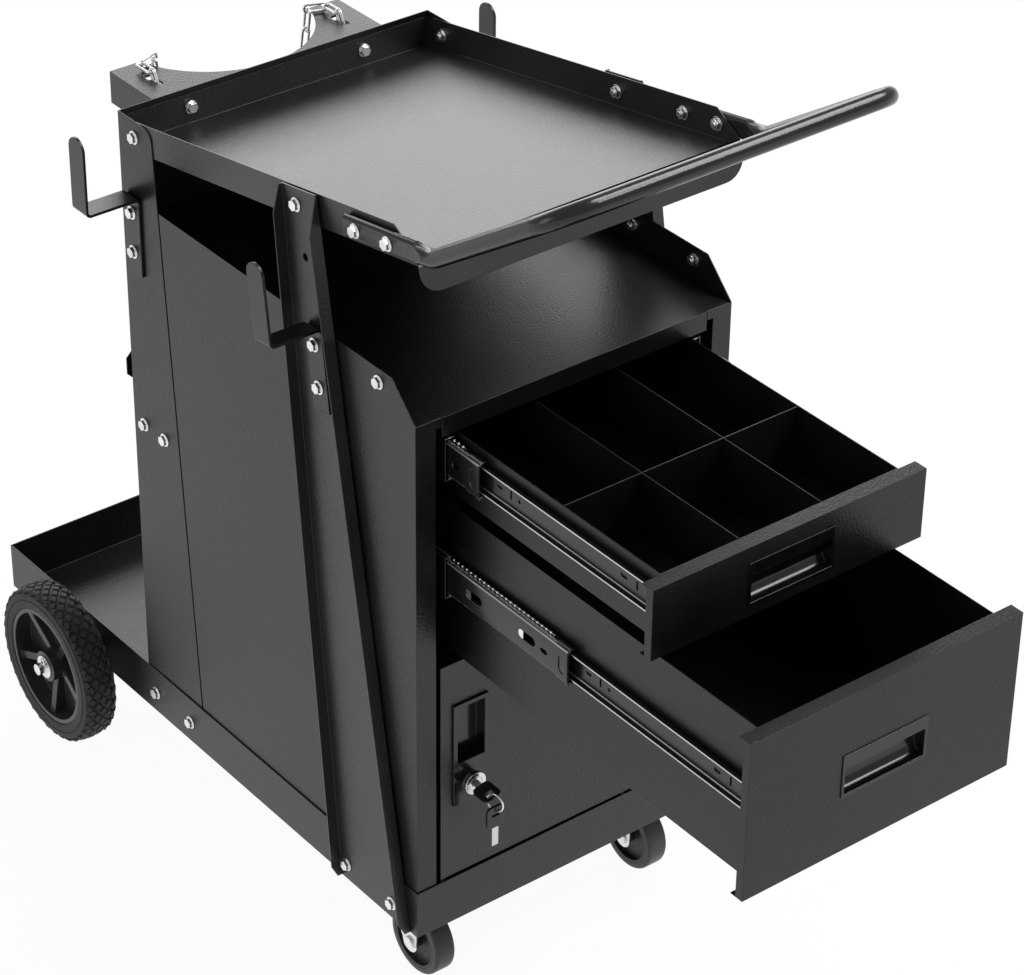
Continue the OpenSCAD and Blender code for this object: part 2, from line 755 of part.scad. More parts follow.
// Hook: a strap bolted flat to the side, an arm straight out, and an upturned round tip.
// The front ones lean with the struts that carry them.
module hook(side, y, seat_x, lean = 0) {
    arm = hook_z - hook_t;
    corner = hook_bend_r + hook_t;
    tip_z = hook_z + hook_tip_h - hook_w / 2;
    color(black) placed() to_side(side) difference() {
        translate([0, y, hook_z]) rotate([-lean, 0, 0]) translate([0, -y, -hook_z]) union() {
            along(y - hook_w / 2, y + hook_w / 2) {
                translate([seat_x, hook_z - hook_leg_l]) square([hook_t, hook_leg_l - corner]);
                translate([seat_x + corner, arm]) square([hook_reach - seat_x - 2 * corner, hook_t]);
                translate([hook_reach - hook_t, arm + corner]) square([hook_t, tip_z - arm - corner]);
                translate([seat_x + corner, hook_z - corner])
                    polygon(concat(arc(0, 0, corner, 180, 90), arc(0, 0, hook_bend_r, 90, 180)));
                translate([hook_reach - corner, arm + corner])
                    polygon(concat(arc(0, 0, corner, 270, 360), arc(0, 0, hook_bend_r, 360, 270)));
            }
            rod_x(hook_reach - hook_t, hook_reach, y, tip_z, hook_w);
        }
        side_bolt_holes();
    }
}

module left_front_hook() {
    hook("left", front_hook_y, strut_x, hook_lean);
}

module left_rear_hook() {
    hook("left", back_y - rear_hook_y, cab_x);
}

module right_front_hook() {
    hook("right", front_hook_y, strut_x, hook_lean);
}

module right_rear_hook() {
    hook("right", back_y - rear_hook_y, cab_x);
}

// Handle: one bent tube with both ends flattened against the tray's side walls. The bends
// are a hair thinner than the straight lengths and reach a little way into them.
handle_x = liner_x + handle_flat_t / 2;
handle_y = -handle_bend_y;
handle_z = tray_top(handle_y) - tray_wall_h / 2;
flat_h = handle_d + handle_flat_t / 2;
bend_lap = 1;
module tube_bend(r, turn) {
    rotate([0, 0, -bend_lap]) rotate_extrude(angle = turn + 2 * bend_lap)
        translate([r, 0]) circle(d = handle_d - 2 * fit);
}

module flat_section() {
    square([handle_flat_t, flat_h - handle_flat_t], center = true);
    for (s = [-0.5, 0.5]) translate([0, s * (flat_h - handle_flat_t)]) circle(d = handle_flat_t);
}

// A handle end along Y: the round tube squeezed flat over its own diameter's length
module handle_end(from, to) {
    flat_y = from + handle_d;
    mid_y = from + handle_d / 2;
    round_half = handle_d / 2 + hair;
    flat_half = handle_flat_t / 2 - hair;
    high = flat_h / 2 + hair;
    low = flat_h / 4;
    intersection() {
        translate([0, flat_y, 0]) rotate([90, 0, 0]) cylinder(h = handle_d, d = handle_d);
        translate([0, 0, -handle_d]) linear_extrude(2 * handle_d)
            polygon([[-round_half, from - over], [round_half, from - over], [round_half, from],
                     [flat_half, flat_y], [flat_half, flat_y + over], [-flat_half, flat_y + over],
                     [-flat_half, flat_y], [-round_half, from]]);
    }
    intersection() {
        along(mid_y, to) flat_section();
        across(-handle_d, handle_d)
            polygon([[mid_y - over, -low], [mid_y, -low], [flat_y, -high], [to + over, -high],
                     [to + over, high], [flat_y, high], [mid_y, low], [mid_y - over, low]]);
    }
}

module handle() {
    leg_angle = atan(handle_rise / (handle_reach - handle_bend_y));
    leg_l = handle_rise / sin(leg_angle);
    turn = leg_angle - tray_tilt;
    lead = handle_bend_r * tan(turn / 2);
    color(black) placed() difference() {
        union() {
            both_sides() translate([handle_x, handle_y, handle_z]) {
                rotate([-tray_tilt, 0, 0]) {
                    handle_end(lead, (handle_bend_y + handle_flat_l) / cos(tray_tilt));
                    translate([0, lead, handle_bend_r]) rotate([90, 0, 90])
                        rotate([0, 0, -90 - turn]) tube_bend(handle_bend_r, turn);
                }
                rotate([-leg_angle, 0, 0]) {
                    translate([0, -lead, 0]) rotate([90, 0, 0])
                        cylinder(h = leg_l - lead - handle_corner_r, d = handle_d);
                    translate([-handle_corner_r, handle_corner_r - leg_l, 0])
                        rotate([0, 0, -90]) tube_bend(handle_corner_r, 90);
                }
            }
            rod_x(handle_corner_r - handle_x, handle_x - handle_corner_r,
                  -handle_reach, handle_z + handle_rise, handle_d);
        }
        both_sides() side_bolt_holes();
    }
}

// Bracket for the gas bottle: a plate with a round cut-out, keyholes for the chain, two side
// flanges, and a rear wall bolted to the back panel
keyhole_x = bracket_w / 2 - keyhole_edge;
module tank_bracket() {
    half = bracket_w / 2;
    under = bracket_z - plate_t;
    low = bracket_z - bracket_flange_h;
    rear = back_y + bracket_d;
    color(black) placed() difference() {
        union() {
            block([-half, back_y, under], [half, rear, bracket_z]);
            block([-half, back_y, low], [half, bracket_y, bracket_z]);
            for (x = [-half, half - plate_t]) block([x, back_y, low], [x + plate_t, rear, bracket_z]);
        }
        translate([0, back_y + cradle_y, under - over])
            cylinder(h = plate_t + 2 * over, r = cradle_r, $fn = 96);
        for (x = [-keyhole_x, keyhole_x]) {
            translate([x, back_y + keyhole_y, under - over]) cylinder(h = plate_t + 2 * over, d = keyhole_d);
            block([x - keyhole_slot_w / 2, back_y + keyhole_y - keyhole_slot_l, under - over],
                  [x + keyhole_slot_w / 2, back_y + keyhole_y, bracket_z + over]);
        }
        back_bolt_holes();
    }
}

// A chain link in its own plane, centred on the origin and lying along X
chain_play = 0.35;
wire_reach = chain_wire_d / 2 + chain_play;
bow_r = (chain_w - chain_wire_d) / 2;
module chain_link() {
    half = chain_pitch / 2 + wire_reach - bow_r;
    for (s = [-1, 1]) {
        translate([-half, s * bow_r, 0]) rotate([0, 90, 0]) cylinder(h = 2 * half, d = chain_wire_d, $fn = 16);
        translate([s * half, 0, 0]) rotate([0, 0, -90 * s])
            rotate_extrude(angle = 180, $fn = 24) translate([bow_r, 0]) circle(d = chain_wire_d, $fn = 16);
    }
}

// A link midway between two joints, turned about its own length by roll
module link_between(from, to, roll) {
    d = to - from;
    translate((from + to) / 2) rotate([0, 0, atan2(d[1], d[0])])
        rotate([0, -atan2(d[2], norm([d[0], d[1]])), 0]) rotate([roll, 0, 0]) chain_link();
}

// The chain's two ends: a link through each keyhole slot, one flat over the plate, and one on
// edge that carries the hanging chain inside its bow, clear of the cut-out's rim. Where the
// chain turns in a link's own plane, the next joint moves round inside that link's bow.
bow_shift = bow_r - wire_reach;
on_edge_z = bracket_z + chain_w / 2 + hair;
function heading(turn) = [-sin(turn), cos(turn), 0];
slot_rise = [0, 0.5, sqrt(3) / 2];
slot_top = [keyhole_x, back_y + keyhole_y - chain_wire_d / 2, on_edge_z + bow_shift * slot_rise[2]];
flat_from = slot_top + bow_shift * (heading(0) - slot_rise);
flat_to = flat_from + chain_pitch * heading(0);
edge_from = flat_to + bow_shift * (heading(chain_turn) - heading(0));
edge_to = edge_from + chain_pitch * heading(chain_turn);
chain_start = edge_to - bow_shift * heading(chain_turn) - [0, 0, chain_play + wire_reach];
module chain_end_links() {
    color(zinc) placed() both_sides() {
        link_between(slot_top - chain_pitch * slot_rise, slot_top, 90);
        link_between(flat_from, flat_to, 0);
        link_between(edge_from, edge_to, 90);
    }
}

// The chain's own body: links along a catenary, whose parameter is found by halving an interval
function cosh_of(u) = (exp(u) + exp(-u)) / 2;
function sinh_of(u) = (exp(u) - exp(-u)) / 2;
function asinh_of(v) = ln(v + sqrt(v * v + 1));
chain_half_l = chain_pitch * chain_links / 2;
function catenary(low, high, turns) =
    turns == 0 ? (low + high) / 2
    : (low + high) / 2 * sinh_of(2 * chain_start[0] / (low + high)) > chain_half_l
        ? catenary((low + high) / 2, high, turns - 1)
        : catenary(low, (low + high) / 2, turns - 1);
chain_a = catenary(chain_start[0] / 8, chain_start[0] * 2, 24);
chain_sag = chain_a * cosh_of(chain_start[0] / chain_a);
function joint(i) =
    let (s = i * chain_pitch - chain_half_l)
    [chain_a * asinh_of(s / chain_a), chain_start[1],
     chain_start[2] - chain_sag + sqrt(chain_a * chain_a + s * s)];
function along_link(i) = (joint(i + 1) - joint(i)) / norm(joint(i + 1) - joint(i));
function joint_shift(i) =
    i == 0 || i == chain_links ? [0, 0, 0] : bow_shift * (along_link(i) - along_link(i - 1));

module tank_chain() {
    color(zinc) placed() {
        for (i = [0 : 2 : chain_links - 1])
            link_between(joint(i) + joint_shift(i), joint(i + 1) + joint_shift(i + 1), 0);
        for (i = [1 : 2 : chain_links - 2]) link_between(joint(i), joint(i + 1), 90);
    }
}

// Rear axle: a plain rod under the pan, with a cross hole at each end
wheel_z = wheel_d / 2;
wheel_x = pan_x + wheel_gap;
hub_gap = 1;
washer_t = 1.8;
axle_tail = 8.5;
axle_end = wheel_x + wheel_w - hub_gap + washer_t + axle_tail;
cotter_d = 3;
cotter_x = axle_end - 1.4 * cotter_d;
cotter_tilt = 25;
module rear_axle() {
    color(zinc) placed() difference() {
        rod_x(-axle_end, axle_end, axle_y, wheel_z, axle_d);
        for (x = [-cotter_x, cotter_x]) translate([x, axle_y, wheel_z]) rotate([cotter_tilt, 0, 0])
            cylinder(h = 2 * axle_d, d = cotter_d + 2 * fit, center = true);
    }
}

// Axle brackets: an angle welded under each side of the pan
module axle_brackets() {
    low = wheel_z - axle_d;
    color(black) placed() both_sides() difference() {
        union() {
            block([axle_bracket_x - plate_t, axle_y - axle_bracket_l / 2, low],
                  [axle_bracket_x, axle_y + axle_bracket_l / 2, pan_z]);
            block([axle_bracket_x - axle_bracket_w, axle_y - axle_bracket_l / 2, pan_z - plate_t],
                  [axle_bracket_x, axle_y + axle_bracket_l / 2, pan_z]);
        }
        rod_x(axle_bracket_x - axle_bracket_w - over, axle_bracket_x + over, axle_y, wheel_z, axle_d + 2 * fit);
    }
}

// Axle fittings: a spacer tube inside each wheel, a washer outside it, and a cotter pin
module axle_fittings() {
    washer_d = 2 * axle_d;
    outer = axle_end - axle_tail;
    pin_half = 0.85 * axle_d;
    loop_r = 1.2 * cotter_d;
    color(zinc) placed() both_sides() {
        difference() {
            union() {
                rod_x(axle_bracket_x, wheel_x + hub_gap - hair, axle_y, wheel_z, axle_d + 1.5 * axle_gap);
                rod_x(outer - washer_t, outer, axle_y, wheel_z, washer_d);
            }
            rod_x(0, axle_end, axle_y, wheel_z, axle_d + 2 * fit);
        }
        translate([cotter_x, axle_y, wheel_z]) rotate([cotter_tilt, 0, 0]) {
            cylinder(h = 2 * pin_half, d = cotter_d, center = true, $fn = 24);
            translate([0, 0, pin_half + 0.8 * loop_r]) rotate([90, 0, 90])
                rotate_extrude($fn = 24) translate([loop_r, 0]) circle(d = 0.7 * cotter_d, $fn = 16);
        }
    }
}

// Rear tyre: crowned tread, a groove in each side, and a bore that grips the rim
crown_h = 4;
groove_inset = 12;
groove_r = wheel_d / 2 - groove_inset;
module tyre(side) {
    r = wheel_d / 2;
    half = wheel_w / 2;
    in_r = rim_d / 2;
    flank_r = r - crown_h - hub_gap;
    groove = rim_ring_t / 3;
    sphere_r = (half * half + crown_h * crown_h) / (2 * crown_h);
    spread = 0.94 * asin(half / sphere_r);
    color(rubber) placed() to_side(side) translate([wheel_x + half, axle_y, wheel_z]) rotate([0, 90, 0])
        difference() {
            rotate_extrude($fn = 96)
                polygon(concat([[in_r, hub_gap - half], [in_r + hub_gap, -half], [groove_r, -half],
                                [flank_r, -half]],
                               arc(r - sphere_r, 0, sphere_r, -spread, spread, 10),
                               [[flank_r, half], [groove_r, half], [in_r + hub_gap, half],
                                [in_r, half - hub_gap]]));
            for (z = [-half, half]) translate([0, 0, z]) rotate_extrude($fn = 96)
                translate([groove_r, 0]) circle(d = groove, $fn = 16);
        }
}

// Rear rim: ring, deep dished web and hub in one profile, with ribs, bored for the axle
module rim(side) {
    ring_r = rim_d / 2;
    ring_in = ring_r - rim_ring_t;
    hub_r = hub_d / 2;
    bore_r = axle_d / 2 + fit;
    half = wheel_w / 2 - hub_gap;
    web_z = half - rim_dish;
    web_low = web_z - rim_web_t;
    color(black) placed() to_side(side) translate([wheel_x + wheel_w / 2, axle_y, wheel_z]) rotate([0, 90, 0]) {
        rotate_extrude($fn = 96)
            polygon([[bore_r, -half], [hub_r, -half], [hub_r, web_low], [ring_in, web_low],
                     [ring_in, -half], [ring_r, -half], [ring_r, half], [ring_in, half],
                     [ring_in, web_z], [hub_r, web_z], [hub_r, half], [bore_r, half]]);
        for (i = [0 : rib_count - 1]) rotate([0, 0, i * 360 / rib_count])
            along(-rib_t / 2, rib_t / 2)
                polygon([[hub_r - over, web_z - rim_web_t / 2], [ring_in + over, web_z - rim_web_t / 2],
                         [ring_in + over, half - rim_dish / 4], [hub_r - over, half - rim_dish / 1.6]]);
    }
}

module left_tyre() {
    tyre("left");
}

module left_rim() {
    rim("left");
}

module right_tyre() {
    tyre("right");
}

module right_rim() {
    rim("right");
}

// Casters: plate and kingpin under the pan, a swivelling fork, and a wheel on its axle
race_t = 4;
crown_t = 3;
caster_z = caster_d / 2;
race_z = pan_z - plate_t - race_t;
crown_top = race_z - hair;
wheel_axis_y = swivel_y - caster_trail;
arm_t = 2.5;
arm_gap = 2.9;
arm_x = caster_w / 2 + arm_gap;
pin_head_d = 17;
pin_head_h = 3;
module caster_plates() {
    color(zinc) placed() both_sides() translate([caster_x, swivel_y, 0]) {
        difference() {
            block([-caster_plate_w / 2, -caster_plate_l / 2, pan_z - plate_t],
                  [caster_plate_w / 2, caster_plate_l / 2, pan_z]);
            translate([-caster_x, -swivel_y, 0]) floor_bolt_holes();
        }
        translate([0, 0, race_z]) cylinder(h = race_t, d = race_d);
        translate([0, 0, crown_top - crown_t - hair - pin_head_h]) {
            cylinder(h = pin_head_h, d = pin_head_d);
            cylinder(h = pin_head_h + 2 * hair + crown_t + race_t, d = kingpin_d);
        }
    }
}

// The outline of a fork arm, from the crown down to the boss round the axle
module arm_outline() {
    boss_r = 1.4 * caster_axle_d;
    half = race_d / 2 - hair;
    low = crown_top - crown_t;
    polygon([[swivel_y - half, crown_top], [swivel_y + half, crown_top], [swivel_y + half, low],
             [swivel_y + half / 2, low - crown_t * 3], [swivel_y - half / 3, caster_z + 1.6 * boss_r],
             [wheel_axis_y + boss_r, caster_z], [wheel_axis_y - boss_r, caster_z],
             [wheel_axis_y - boss_r, caster_z + 1.7 * boss_r], [swivel_y - half, low - crown_t]]);
    translate([wheel_axis_y, caster_z]) circle(boss_r);
}

module caster_fork(side) {
    color(zinc) placed() to_side(side) difference() {
        union() {
            across(caster_x - arm_x - arm_t, caster_x - arm_x) arm_outline();
            across(caster_x + arm_x, caster_x + arm_x + arm_t) arm_outline();
            translate([caster_x, swivel_y, crown_top - crown_t]) intersection() {
                cylinder(h = crown_t, d = race_d + 2 * arm_t);
                block([-arm_x - arm_t, -race_d, 0], [arm_x + arm_t, race_d, crown_t]);
            }
        }
        translate([caster_x, swivel_y, race_z - race_d / 2]) cylinder(h = race_d, d = kingpin_d + 2 * fit);
        rod_x(caster_x - 2 * arm_x, caster_x + 2 * arm_x, wheel_axis_y, caster_z, caster_axle_d + 2 * fit);
    }
}

module caster_axle(side) {
    end = arm_x + arm_t;
    head = 2.5;
    color(zinc) placed() to_side(side) {
        rod_x(caster_x - end - head, caster_x + end + head, wheel_axis_y, caster_z, caster_axle_d);
        rod_x(caster_x + end, caster_x + end + head, wheel_axis_y, caster_z, 1.7 * caster_axle_d);
        rod_x(caster_x - end - head, caster_x - end, wheel_axis_y, caster_z, 1.7 * caster_axle_d);
    }
}

module caster_tread(side) {
    half = caster_w / 2;
    edge = tread_t / 2;
    r = caster_d / 2;
    color(rubber) placed() to_side(side) translate([caster_x, wheel_axis_y, caster_z]) rotate([0, 90, 0])
        rotate_extrude($fn = 96)
            polygon(concat([[r - tread_t, -half], [r - edge, -half]], arc(r - edge, edge - half, edge, -90, 0),
                           arc(r - edge, half - edge, edge, 0, 90), [[r - tread_t, half]]));
}

module caster_core(side) {
    half = caster_w / 2;
    r = caster_d / 2 - tread_t;
    ring = tread_t / 2;
    dish = half / 2;
    boss = half + arm_gap - hair;
    color(grey) placed() to_side(side) translate([caster_x, wheel_axis_y, caster_z]) rotate([0, 90, 0])
        rotate_extrude($fn = 96)
            polygon([[caster_axle_d / 2 + fit, -boss], [caster_axle_d, -boss], [caster_axle_d, -dish],
                     [r - ring, -dish], [r - ring, -half], [r, -half], [r, half], [r - ring, half],
                     [r - ring, dish], [caster_axle_d, dish], [caster_axle_d, boss],
                     [caster_axle_d / 2 + fit, boss]]);
}

module left_caster_fork() {
    caster_fork("left");
}

module left_caster_axle() {
    caster_axle("left");
}

module left_caster_tread() {
    caster_tread("left");
}

module left_caster_core() {
    caster_core("left");
}

module right_caster_fork() {
    caster_fork("right");
}

module right_caster_axle() {
    caster_axle("right");
}

module right_caster_tread() {
    caster_tread("right");
}

module right_caster_core() {
    caster_core("right");
}

// Slide members, all channels along Y: the fixed one opens towards the drawer, the middle one
// runs inside it, and the drawer member runs inside that with its back to the drawer box
module channel(web_x, edge_x, z, height, y) {
    t = web_x < edge_x ? slide_t : -slide_t;
    low = z - height / 2;
    high = z + height / 2;
    along(y, y + slide_l)
        polygon([[edge_x, low], [web_x, low], [web_x, high], [edge_x, high], [edge_x, high - slide_t],
                 [web_x + t, high - slide_t], [web_x + t, low + slide_t], [edge_x, low + slide_t]]);
}

lip_gap = 2;
mid_web_x = slide_x - 2 * slide_t;
module fixed_slides(z) {
    color(zinc) placed() both_sides() channel(slide_x, box_x + lip_gap, z, slide_outer_h, slide_y);
}

// A middle member carries a ball race above and below, towards both of its neighbours
module middle_slides(z, open) {
    y = slide_y - (open - slide_stage);
    edge = box_x + lip_gap;
    color(zinc) placed() both_sides() {
        channel(mid_web_x, edge, z, slide_mid_h, y);
        for (s = [0, 1]) translate([0, 0, z]) mirror([0, 0, s])
            block([edge + slide_t, y, slide_inner_h / 2 + hair],
                  [edge + 3 * slide_t, y + slide_l, slide_outer_h / 2 - slide_t - hair]);
    }
}

// Screws that hold a drawer box to its two drawer members, one near each end
screw_d = 4;
screw_from_end = 17;
screw_ys = [slide_y + screw_from_end, slide_y + slide_l - 3 * screw_from_end];
module screw_holes(z, open) {
    both_sides() for (y = screw_ys)
        rod_x(box_x - 2 * sheet_t, box_x + 2 * slide_t, y - open, z, screw_d + 2 * bolt_play);
}

module slide_runners(z, open) {
    color(zinc) placed() difference() {
        both_sides() channel(box_x, mid_web_x - lip_gap - slide_t, z, slide_inner_h, slide_y - open);
        screw_holes(z, open);
    }
}

module drawer_screws(z, open) {
    head_h = 1.6;
    color(zinc) placed() both_sides() for (y = screw_ys) {
        rod_x(box_x - sheet_t - screw_d / 2, box_x + slide_t, y - open, z, screw_d);
        rod_x(box_x + slide_t, box_x + slide_t + head_h, y - open, z, screw_d * 2);
    }
}

// Drawer box: floor and four walls, open at the top
module drawer_box(low, high, slide_z, open) {
    y0 = face_y + front_d - open;
    y1 = y0 + box_l;
    color(black) placed() difference() {
        block([-box_x, y0, low], [box_x, y1, high]);
        block([-box_x + sheet_t, y0 + sheet_t, low + sheet_t], [box_x - sheet_t, y1 - sheet_t, high + over]);
        screw_holes(slide_z, open);
    }
}

// Drawer front: face sheet with lips folded back on all four sides, cut out for the pull
module drawer_front(low, high, pull_z, open) {
    y0 = face_y - open;
    y1 = y0 + front_d;
    cut_w = pull_w / 2 - pull_rim_w / 2;
    cut_h = pull_h / 2 - pull_rim_w / 2;
    side_d = 0.6 * front_d;
    color(black) placed() difference() {
        union() {
            block([-front_x, y0, low], [front_x, y0 + sheet_t, high]);
            for (z = [low, high - sheet_t]) block([-front_x, y0, z], [front_x, y1, z + sheet_t]);
            for (x = [-front_x, front_x - sheet_t])
                block([x, y0, low], [x + sheet_t, y0 + side_d, high]);
        }
        block([-cut_w, y0 - over, pull_z - cut_h], [cut_w, y0 + 2 * sheet_t, pull_z + cut_h]);
    }
}

// Recessed pull: a thin frame on the front, a hood, and a finger cup with a rounded floor
module drawer_pull(pull_z, open) {
    y0 = face_y - open;
    rim = sheet_t;
    w = pull_w / 2;
    h = pull_h / 2;
    cut_w = w - pull_rim_w / 2 - hair / 2;
    cut_h = h - pull_rim_w / 2 - hair / 2;
    in_w = cut_w - sheet_t;
    in_h = cut_h - sheet_t;
    deep = y0 + pull_cup_d;
    color(black) placed() translate([0, 0, pull_z]) difference() {
        union() {
            block([-w, y0 - rim, -h], [w, y0, h]);
            block([-cut_w, y0 - rim, -cut_h], [cut_w, deep, cut_h]);
        }
        across(-in_w, in_w)
            polygon(concat([[y0 - rim - over, -in_h], [y0, -in_h]],
                           arc(y0, pull_cup_d - sheet_t - in_h, pull_cup_d - sheet_t, -90, 0),
                           [[deep - sheet_t, in_h], [y0 + sheet_t, in_h],
                            [y0 + sheet_t, in_h - pull_hood_h + 2 * sheet_t],
                            [y0 - rim - over, in_h - pull_hood_h]]));
    }
}

module upper_slide_rails() {
    fixed_slides(upper_slide_z);
}

module upper_slide_middles() {
    middle_slides(upper_slide_z, upper_open);
}

module upper_slide_runners() {
    slide_runners(upper_slide_z, upper_open);
}

module upper_drawer_box() {
    drawer_box(upper_z + box_floor_rise, upper_top, upper_slide_z, upper_open);
}

module upper_drawer_front() {
    drawer_front(upper_z, upper_top, upper_z + upper_pull_rise, upper_open);
}

// Dividers of the upper drawer: two along it and one across, as high as the box
module upper_drawer_dividers() {
    low = upper_z + box_floor_rise + sheet_t;
    high = upper_top - sheet_t / 2;
    y0 = face_y + front_d - upper_open + sheet_t;
    y1 = y0 + box_l - 2 * sheet_t;
    cross_y = face_y - upper_open + divider_cross_y;
    color(black) placed() {
        for (x = [-divider_pitch / 2, divider_pitch / 2])
            block([x - sheet_t / 2, y0, low], [x + sheet_t / 2, y1, high]);
        block([-box_x + sheet_t, cross_y, low], [box_x - sheet_t, cross_y + sheet_t, high]);
    }
}

module upper_drawer_pull() {
    drawer_pull(upper_z + upper_pull_rise, upper_open);
}

module upper_drawer_screws() {
    drawer_screws(upper_slide_z, upper_open);
}

module lower_slide_rails() {
    fixed_slides(lower_slide_z);
}

module lower_slide_middles() {
    middle_slides(lower_slide_z, lower_open);
}

module lower_slide_runners() {
    slide_runners(lower_slide_z, lower_open);
}

module lower_drawer_box() {
    drawer_box(lower_z + box_floor_rise, lower_top - lower_box_drop, lower_slide_z, lower_open);
}

module lower_drawer_front() {
    drawer_front(lower_z, lower_top, lower_z + lower_pull_rise, lower_open);
}

module lower_drawer_pull() {
    drawer_pull(lower_z + lower_pull_rise, lower_open);
}

module lower_drawer_screws() {
    drawer_screws(lower_slide_z, lower_open);
}

// Door hinge: a tab above and below the door, each with a pin in the door's fold
hinge_inset = 4;
hinge_setback = 5;
hinge_x = front_x - hinge_inset;
hinge_y = face_y + hinge_setback;
hinge_pin_d = 4;
hinge_pin_l = 8;
tab_gap = door_gap / 2;
module hinge_bracket(z, up) {
    pin_z = up ? z : z - hinge_pin_l + sheet_t;
    block([hinge_x - hinge_pin_d, inner_y, z], [opening_x, inner_y + stile_lip_d, z + sheet_t]);
    translate([hinge_x, hinge_y, pin_z]) cylinder(h = hinge_pin_l, d = hinge_pin_d);
}

module hinge_brackets() {
    color(zinc) placed() {
        hinge_bracket(door_z - tab_gap - sheet_t / 2, true);
        hinge_bracket(door_top + tab_gap - sheet_t / 2, false);
    }
}

// Door: a folded sheet, bored for its hinge pins and cut out for the handle plate and lock
door_x = -front_x;
plate_x = door_x + plate_edge;
plate_z = door_z + plate_rise;
recess_x = plate_x + pull_rim_w;
recess_w = plate_w - 2 * pull_rim_w;
recess_z = plate_z + plate_h - pull_rim_w - recess_h;
lock_x = plate_x + plate_w / 2 + pull_rim_w;
lock_rise = 19;
lock_z = plate_z + lock_rise;
module door_panel() {
    y1 = face_y + front_d;
    color(black) placed() difference() {
        block([-front_x, face_y, door_z], [front_x, y1, door_top]);
        block([-front_x + sheet_t, face_y + sheet_t, door_z + sheet_t],
              [front_x - sheet_t, y1 + over, door_top - sheet_t]);
        translate([hinge_x, hinge_y, door_z - over])
            cylinder(h = door_h + 2 * over, d = hinge_pin_d + 2 * fit);
        block([recess_x - sheet_t, face_y - over, recess_z - sheet_t],
              [recess_x + recess_w + sheet_t, face_y + 2 * sheet_t, recess_z + recess_h + sheet_t]);
        translate([lock_x, y1, lock_z]) rotate([90, 0, 0])
            cylinder(h = 2 * front_d, d = lock_barrel_d + 2 * bolt_play);
    }
}

// Handle plate: a moulded plate with a finger recess above the lock
module door_handle_plate() {
    proud_y = face_y - plate_proud;
    color(black) placed() difference() {
        union() {
            block([plate_x, proud_y, plate_z], [plate_x + plate_w, face_y, plate_z + plate_h]);
            block([recess_x - sheet_t + hair, proud_y, recess_z - sheet_t + hair],
                  [recess_x + recess_w + sheet_t - hair, face_y + recess_d,
                   recess_z + recess_h + sheet_t - hair]);
        }
        block([recess_x + sheet_t, proud_y - over, recess_z + sheet_t],
              [recess_x + recess_w - sheet_t, face_y + recess_d - sheet_t, recess_z + recess_h - sheet_t]);
        translate([lock_x, face_y + over, lock_z]) rotate([90, 0, 0])
            cylinder(h = 2 * front_d, d = lock_barrel_d + 2 * bolt_play);
    }
}

// Lock: a barrel with its ring, clamped in the handle plate, and a plug with a latch behind
lock_face_y = face_y - plate_proud;
lock_ring_t = 3;
barrel_end_y = face_y + front_d + lock_ring_t;
latch_t = 2;
latch_w = 14;
module lock_barrel() {
    color(zinc) placed() difference() {
        translate([lock_x, 0, lock_z]) rotate([90, 0, 0]) {
            translate([0, 0, -lock_face_y]) cylinder(h = lock_ring_t, d = lock_ring_d);
            translate([0, 0, -barrel_end_y]) cylinder(h = barrel_end_y - lock_face_y, d = lock_barrel_d);
        }
        translate([lock_x, barrel_end_y + over, lock_z]) rotate([90, 0, 0])
            cylinder(h = 2 * front_d + 2 * lock_ring_d, d = lock_plug_d + 2 * fit);
    }
}

module lock_plug() {
    front_end = lock_ring_t - lock_face_y - hair;
    rear_end = barrel_end_y + hair;
    color(zinc) placed() translate([lock_x, 0, lock_z]) difference() {
        union() {
            rotate([90, 0, 0]) translate([0, 0, -rear_end]) cylinder(h = rear_end + front_end, d = lock_plug_d);
            block([-latch_w / 2, rear_end, -latch_l], [latch_w / 2, rear_end + latch_t, latch_w / 2]);
        }
        rotate([0, -key_angle, 0])
            block([-blade_w / 2 - hair, -front_end - over, -blade_t / 2 - hair],
                  [blade_w / 2 + hair, blade_l - front_end, blade_t / 2 + hair]);
    }
}

// A key along -Y from its blade's tip, with a flat moulded bow that is slotted for the ring
slot_w = 9;
slot_h = 7;
slot_edge = 4;
key_gap = 5;
module key_shape() {
    corner = 5;
    block([-blade_w / 2, -key_gap - bow_l / 4, -blade_t / 2], [blade_w / 2, blade_l - key_gap, blade_t / 2]);
    difference() {
        translate([0, -key_gap - bow_l, -bow_t / 2]) linear_extrude(bow_t)
            polygon(concat(arc(bow_w / 2 - corner, bow_l - corner, corner, 0, 90, 4),
                           arc(corner - bow_w / 2, bow_l - corner, corner, 90, 180, 4),
                           arc(corner - bow_w / 2, corner, corner, 180, 270, 4),
                           arc(bow_w / 2 - corner, corner, corner, 270, 360, 4)));
        block([-slot_w / 2, slot_edge - key_gap - bow_l, -bow_t],
              [slot_w / 2, slot_edge + slot_h - key_gap - bow_l, bow_t]);
    }
}

key_y = lock_face_y - lock_ring_t;
module door_key() {
    color(black) placed() translate([lock_x, key_y, lock_z]) rotate([0, -key_angle, 0]) key_shape();
}

// Key ring: hangs in the bow's slot, round the bow's front edge
ring_turn = 75;
ring_drop = 5.7;
ring_y = key_y - key_gap - bow_l + slot_edge / 4;
ring_x = lock_x + slot_edge / 4;
ring_z = lock_z - ring_drop;
module key_ring() {
    color(zinc) placed() translate([ring_x, ring_y, ring_z])
        rotate([90, 0, -ring_turn]) rotate_extrude() translate([ring_r, 0]) circle(d = ring_wire_d, $fn = 16);
}

